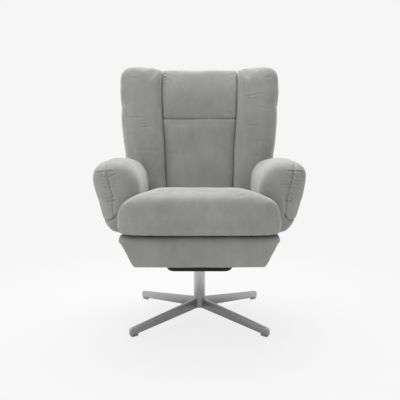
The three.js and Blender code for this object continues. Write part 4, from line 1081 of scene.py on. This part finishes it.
rings = [cover_ring(2, 0.97, 0.45, 1.0), cover_ring(36, 0.98, 0.47, 0.5), cover_ring(60, 0.99, 0.6, 0.2),
         cover_ring(76, 0.998, 0.9)]
rings += [cover_ring(h, 1.0, 1.0) for h in np.linspace(86, CROWN_FOOT, 40)]
rings += [cover_ring(CROWN_FOOT + 28, 0.975, 1.0), cover_ring(CROWN_FOOT + 48, 0.93, 0.92),
          cover_ring(CROWN_FOOT + 58, 0.87, 0.75), cover_ring(CROWN_FOOT + 62, 0.8, 0.5)]
rear_cover = skin("back_rear_shell", rings)
roll = soft_box("roll", (160.0, 34.0), 15.5, 15.5, 8.0, 3.0, 12)
roll_points = points_of(roll)
set_points(roll, on_back(roll_points[:, 0], 110.0 + roll_points[:, 1], 616.0 + roll_points[:, 2]))
only(rear_cover)
roll.select_set(True)
bpy.ops.object.join()
even_mesh(rear_cover, 6.0, 5, LEAN)


def rear_grip(p):
    d, _ = back_depth_and_height(p)
    return 1.0 * (d < COVER_FRONT + 6)


fill(rear_cover, rear_grip, cap=6.0, pressure=3.0)
finer(rear_cover)
p = points_of(rear_cover)
amount = unevenness(p, 1.2, 150.0, 60)
# The two long seams, each a line of x and h on the bulge of the cover
COVER_BULGE = 144
rear_seam = [(232, 84), (240, 241), (250, 400), (256, 560), (250, 610)]
for side in (-1, 1):
    line = [on_back(side * x, COVER_BULGE, h) for x, h in rear_seam]
    amount += groove(p, curve_through(line, 50), 3.4, 4.5)
shift_along_normals(rear_cover, amount)
dress_over_head_joint(rear_cover, 0.4, "back_rear_cover", "head_rear_cover")

# %% [markdown]
# ## The body below the seat
# Two upholstered sides and the rear close the mechanism in. They taper toward the floor
# like a boat, and they are thin pads over board, so they have firm edges. The outline of the
# taper is drawn once and carried round the rear corners.

# %% Body skirt
BODY_FLOOR, BODY_TOP, BODY_REAR, BODY_FRONT = 282.0, 383.7, 260.5, -293.7
BODY_HALF, SKIRT_THICK, CORNER = 262.0, 12.0, 22.0
# The taper: heights above the lower edge and the half width of the body there
body_taper = [(0, 228), (6, 231), (19, 240), (33, 248), (47, 257), (60, 264), (74, 271), (88, 274),
              (101.7, 272)]

# The plan is one open line: along the right side, round the rear corner and to the middle
half_path = [((BODY_HALF, y), (1.0, 0.0)) for y in np.linspace(BODY_FRONT, 230, 25)]
for turn in np.linspace(0, math.pi / 2, 9)[1:-1]:
    out = (math.cos(turn), math.sin(turn))
    half_path.append(((BODY_HALF - CORNER + CORNER * out[0], BODY_REAR - CORNER + CORNER * out[1]), out))
half_path += [((x, BODY_REAR), (0.0, 1.0)) for x in np.linspace(234, 0, 12)]
path = half_path + [((-x, y), (-nx, ny)) for (x, y), (nx, ny) in half_path[::-1][1:]]

# At each height the plan is drawn in sideways, so the rear corners taper with the sides
heights = np.linspace(0, body_taper[-1][0], 12)
drawn_in = columns_at(body_taper, heights)[:, 0] / BODY_HALF
rings = []
for (x, y), (nx, ny) in path:
    outer = np.stack([x * drawn_in, y + 0 * heights, BODY_FLOOR + heights], axis=-1)
    inner = outer - np.array([nx, ny, 0]) * SKIRT_THICK
    rings.append(np.vstack([outer, inner[::-1]]))
skirt = skin("body_skirt", rings)
apply_modifier(skirt, "round", "BEVEL", width=2.5 * MM, segments=2, limit_method="ANGLE",
               angle_limit=math.radians(50))
even_mesh(skirt, 4.5, 3)
finer(skirt)
work_over(skirt, 0.7, 140.0, 70)
dress(skirt, 0.9, "seat", "side_panel_right", "side_panel_left", "rear_panel")

# %% [markdown]
# ## The footrest
# The front panel is the footrest. At rest it stands upright and closes the body; its folding
# links lie in two pockets in its rear. It is a flat pad with a rolled upper edge. Its long
# front face is slightly crowned, and its lower edge is a crisp sewn corner.

# %% Footrest pad
PAD_FRONT, PAD_REAR, PAD_ROUND, PAD_EDGE = -359.5, -293.9, 14.0, 3.0
PAD_TOP = BODY_TOP + 3.8


def pad_profile():
    """The closed section of the pad as y and z."""
    rows = []
    for cy, cz, radius, first, last in (
            (PAD_REAR - PAD_EDGE, BODY_FLOOR + PAD_EDGE, PAD_EDGE, 0, -90),
            (PAD_FRONT + PAD_EDGE, BODY_FLOOR + PAD_EDGE, PAD_EDGE, -90, -180),
            (PAD_FRONT + PAD_ROUND, PAD_TOP - PAD_ROUND, PAD_ROUND, 180, 90),
            (PAD_REAR - PAD_EDGE, PAD_TOP - PAD_EDGE, PAD_EDGE, 90, 0)):
        for angle in np.radians(np.linspace(first, last, 9)):
            rows.append((cy + radius * math.cos(angle), cz + radius * math.sin(angle)))
    return np.array(rows)


# The pad is as wide as the body at its rear and a little narrower in front, up to its shoulder.
# Its ends shrink toward the middle of the rear face, so they close softly.
profile = pad_profile()
fixed_line = np.array([PAD_REAR, (BODY_FLOOR + PAD_TOP) / 2])
toward_front = (PAD_REAR - profile[:, 0]) / (PAD_REAR - PAD_FRONT)
narrower = 0.021 * (1 - rise(profile[:, 1], 340, 45))
half = columns_at(body_taper, profile[:, 1] - BODY_FLOOR)[:, 0] * (1 - narrower * toward_front)
rings = []
ends = [(1.0, 0.93), (0.998, 0.96), (0.994, 0.98), (0.987, 0.992), (0.97, 0.998), (0.94, 1.0)]
reaches = [(-r, s) for r, s in ends] + [(r, 1.0) for r in np.linspace(-0.88, 0.88, 30)] + \
          [(r, s) for r, s in ends[::-1]]
for reach, size in reaches:
    scaled = fixed_line + (profile - fixed_line) * (size, 1 - 0.35 * (1 - size))
    rings.append(np.stack([half * reach, scaled[:, 0], scaled[:, 1]], axis=-1))
footrest = skin("footrest_cover", rings)
even_mesh(footrest, 4.5, 2)


def footrest_grip(p):
    rear_face = 1.0 * (p[:, 1] > PAD_REAR - 8)
    under = 1.0 * (p[:, 2] < BODY_FLOOR + 7)
    top = 1.0 * ((p[:, 2] > PAD_TOP - 6) & (p[:, 1] > -325))
    return np.maximum.reduce([rear_face, under, top])


fill(footrest, footrest_grip, cap=3.0, pressure=3.0)
finer(footrest)
work_over(footrest, 0.6, 150.0, 80)

# The pockets for the links and the recess for the board are cut last, so they stay crisp.
# Each box is given by two corners. A pocket gets shallower toward the top in two steps.
BEHIND_PAD = -250
boxes = [((-226.3, -303.6, 285.2), (226.3, BEHIND_PAD, 372.3))]
for left, right in ((-185.3, -145.7), (145.7, 185.3)):
    for deepest, bottom, top in ((-344.2, 289, 374.5), (-338.6, 360, 384), (-334.3, 378, 400)):
        boxes.append(((left, deepest, bottom), (right, BEHIND_PAD, top)))
for low, high in boxes:
    bpy.ops.mesh.primitive_cube_add(size=1, location=tuple((np.array(low) + high) / 2 * MM),
                                    scale=tuple((np.array(high) - low) * MM))
    cutter = bpy.context.object
    apply_modifier(footrest, "pocket", "BOOLEAN", operation="DIFFERENCE", solver="EXACT", object=cutter)
    bpy.data.objects.remove(cutter)
dress(footrest, 0.8, "footrest", "footrest_pad", angle=50)
print("footrest has", len(footrest.data.polygons), "faces")

# %% [markdown]
# ## The star base
# Each leg is a flat steel bar, deep at the column and slimmer at the tip, with its edges
# broken by a small bevel. One is made along x: its side outline is one face, which is pushed
# out to the thickness of the bar in edit mode. The four legs are turned copies of it, each
# with its own mesh.

# %% Star legs
LEG_THICK, COLUMN_RADIUS, COLUMN_FOOT, COLUMN_HEIGHT = 12.0, 22.5, 38, 247
# The side outline of a leg: distance from the middle of the base, and height
leg_side = [(18.0, 37.0), (349.1, 5.3), (352.6, 6.6), (353.6, 9.8), (353.6, 24.0), (352.9, 27.4),
            (351.0, 30.4), (348.0, 32.4), (344.6, 33.0), (18.0, 75.7)]
corners = [(reach, -LEG_THICK / 2, z) for reach, z in leg_side]
pattern = mesh_from("leg_pattern", corners, [tuple(range(len(corners)))])
only(pattern)
bpy.ops.object.mode_set(mode="EDIT")
bpy.ops.mesh.select_all(action="SELECT")
bpy.ops.mesh.extrude_region_move(TRANSFORM_OT_translate={"value": (0, LEG_THICK * MM, 0)})
bpy.ops.object.mode_set(mode="OBJECT")
face_outwards(pattern)
apply_modifier(pattern, "edges", "BEVEL", width=0.9 * MM, segments=3, limit_method="ANGLE",
               angle_limit=math.radians(40))

leg_turns = {"rear_right": 45, "rear_left": 135, "front_left": 225, "front_right": 315}
for i, (where, degrees) in enumerate(leg_turns.items()):
    leg = bpy.data.objects.new(f"star_leg_{where}", pattern.data.copy())
    scene.collection.objects.link(leg)
    only(leg)
    bpy.ops.object.mode_set(mode="EDIT")
    bpy.ops.mesh.select_all(action="SELECT")
    bpy.ops.transform.rotate(value=-math.radians(degrees), orient_axis="Z", center_override=(0, 0, 0))
    bpy.ops.object.mode_set(mode="OBJECT")
    smooth(leg, 35)
    finish(leg, leg_finishes[i % 2])
    place_piece(leg, "base", "base_steel", f"base_leg_{where}")
bpy.data.objects.remove(pattern)

# %% Column
bpy.ops.mesh.primitive_cylinder_add(vertices=96, radius=COLUMN_RADIUS * MM, depth=COLUMN_HEIGHT * MM,
                                    location=(0, 0, (COLUMN_FOOT + COLUMN_HEIGHT / 2) * MM))
column = bpy.context.object
column.name = "column_tube"
bpy.ops.object.transform_apply(location=True, rotation=True, scale=True)
bpy.ops.object.mode_set(mode="EDIT")
bpy.ops.mesh.select_all(action="DESELECT")
bpy.ops.object.mode_set(mode="OBJECT")
for polygon in column.data.polygons:
    polygon.select = polygon.normal.z > 0.9
bpy.ops.object.mode_set(mode="EDIT")
bpy.ops.mesh.inset(thickness=2 * MM)
bpy.ops.mesh.extrude_region_move(TRANSFORM_OT_translate={"value": (0, 0, -240 * MM)})
bpy.ops.object.mode_set(mode="OBJECT")
apply_modifier(column, "edges", "BEVEL", width=1.6 * MM, segments=3, limit_method="ANGLE",
               angle_limit=math.radians(40))
smooth(column, 35)
finish(column, column_finish)
place_piece(column, "base", "base_steel", "base_column")
print("base ready")

# %% [markdown]
# ## Floor, backdrop and light
# The photograph has a plain near-white ground. The floor and the world show that colour
# straight to the camera and in reflections, and the lamps only light the object. The main
# light is a broad soft lamp above and behind, which makes the tops bright. Weaker lamps above,
# at the left and in front open the shadows, together with an even grey world.

# %% Stage
WHITE = 0.92
bpy.ops.mesh.primitive_plane_add(size=30, location=(0, 0, -0.0005))
floor = bpy.context.object
floor.name = "floor"
floor_material, tree, shader = new_material("floor", Base_Color=(0.8, 0.8, 0.8, 1), Roughness=0.9)
path_node = add(tree, "ShaderNodeLightPath")
place = add(tree, "ShaderNodeTexCoord").outputs["Object"]
away = add(tree, "ShaderNodeVectorMath", {0: place}, operation="LENGTH").outputs["Value"]
plain = add(tree, "ShaderNodeMapRange", {"Value": away, "From Min": 0.35, "From Max": 1.6,
                                         "To Min": 0.88, "To Max": 1.0})
shown_to_camera = add(tree, "ShaderNodeMath", {0: path_node.outputs["Is Camera Ray"],
                                               1: plain.outputs["Result"]}, operation="MULTIPLY")
shown_to_metal = add(tree, "ShaderNodeMath", {0: path_node.outputs["Is Glossy Ray"], 1: 0.25},
                     operation="MULTIPLY")
share = add(tree, "ShaderNodeMath", {0: shown_to_camera.outputs[0], 1: shown_to_metal.outputs[0]},
            operation="ADD")
glow = add(tree, "ShaderNodeEmission", {"Color": (WHITE, WHITE, WHITE, 1), "Strength": 1.0})
mix = add(tree, "ShaderNodeMixShader", {0: share.outputs[0], 1: shader.outputs[0], 2: glow.outputs[0]})
tree.links.new(mix.outputs[0], tree.nodes["Material Output"].inputs["Surface"])
finish(floor, floor_material)

world = bpy.data.worlds.new("studio")
scene.world = world
world.use_nodes = True
tree = world.node_tree
path_node = add(tree, "ShaderNodeLightPath")
seen = add(tree, "ShaderNodeMath", {0: path_node.outputs["Is Camera Ray"],
                                    1: path_node.outputs["Is Glossy Ray"]}, operation="MAXIMUM")
background = tree.nodes["Background"]
background.inputs["Color"].default_value = (0.53, 0.53, 0.53, 1)
shown = add(tree, "ShaderNodeBackground", {"Color": (WHITE, WHITE, WHITE, 1), "Strength": 1.0})
mix = add(tree, "ShaderNodeMixShader", {0: seen.outputs[0], 1: background.outputs[0], 2: shown.outputs[0]})
tree.links.new(mix.outputs[0], tree.nodes["World Output"].inputs["Surface"])


def soft_lamp(name, place, target, size, power):
    data = bpy.data.lights.new(name, "AREA")
    data.shape = "RECTANGLE"
    data.size, data.size_y = size
    data.energy = power
    lamp = bpy.data.objects.new(name, data)
    lamp.location = place
    lamp.rotation_euler = (Vector(target) - Vector(place)).to_track_quat("-Z", "Y").to_euler()
    scene.collection.objects.link(lamp)
    return lamp


soft_lamp("lamp_behind", (0.0, 1.2, 2.9), (0, 0, 0.5), (2.4, 1.6), 111)
soft_lamp("lamp_above", (-0.35, -0.5, 3.0), (0, -0.1, 0.5), (2.2, 1.8), 25)
soft_lamp("lamp_left", (-2.6, -0.8, 2.2), (0, 0, 0.5), (1.8, 1.8), 16)
soft_lamp("lamp_front", (-0.2, -3.8, 1.2), (0, 0, 0.55), (2.4, 1.6), 9)
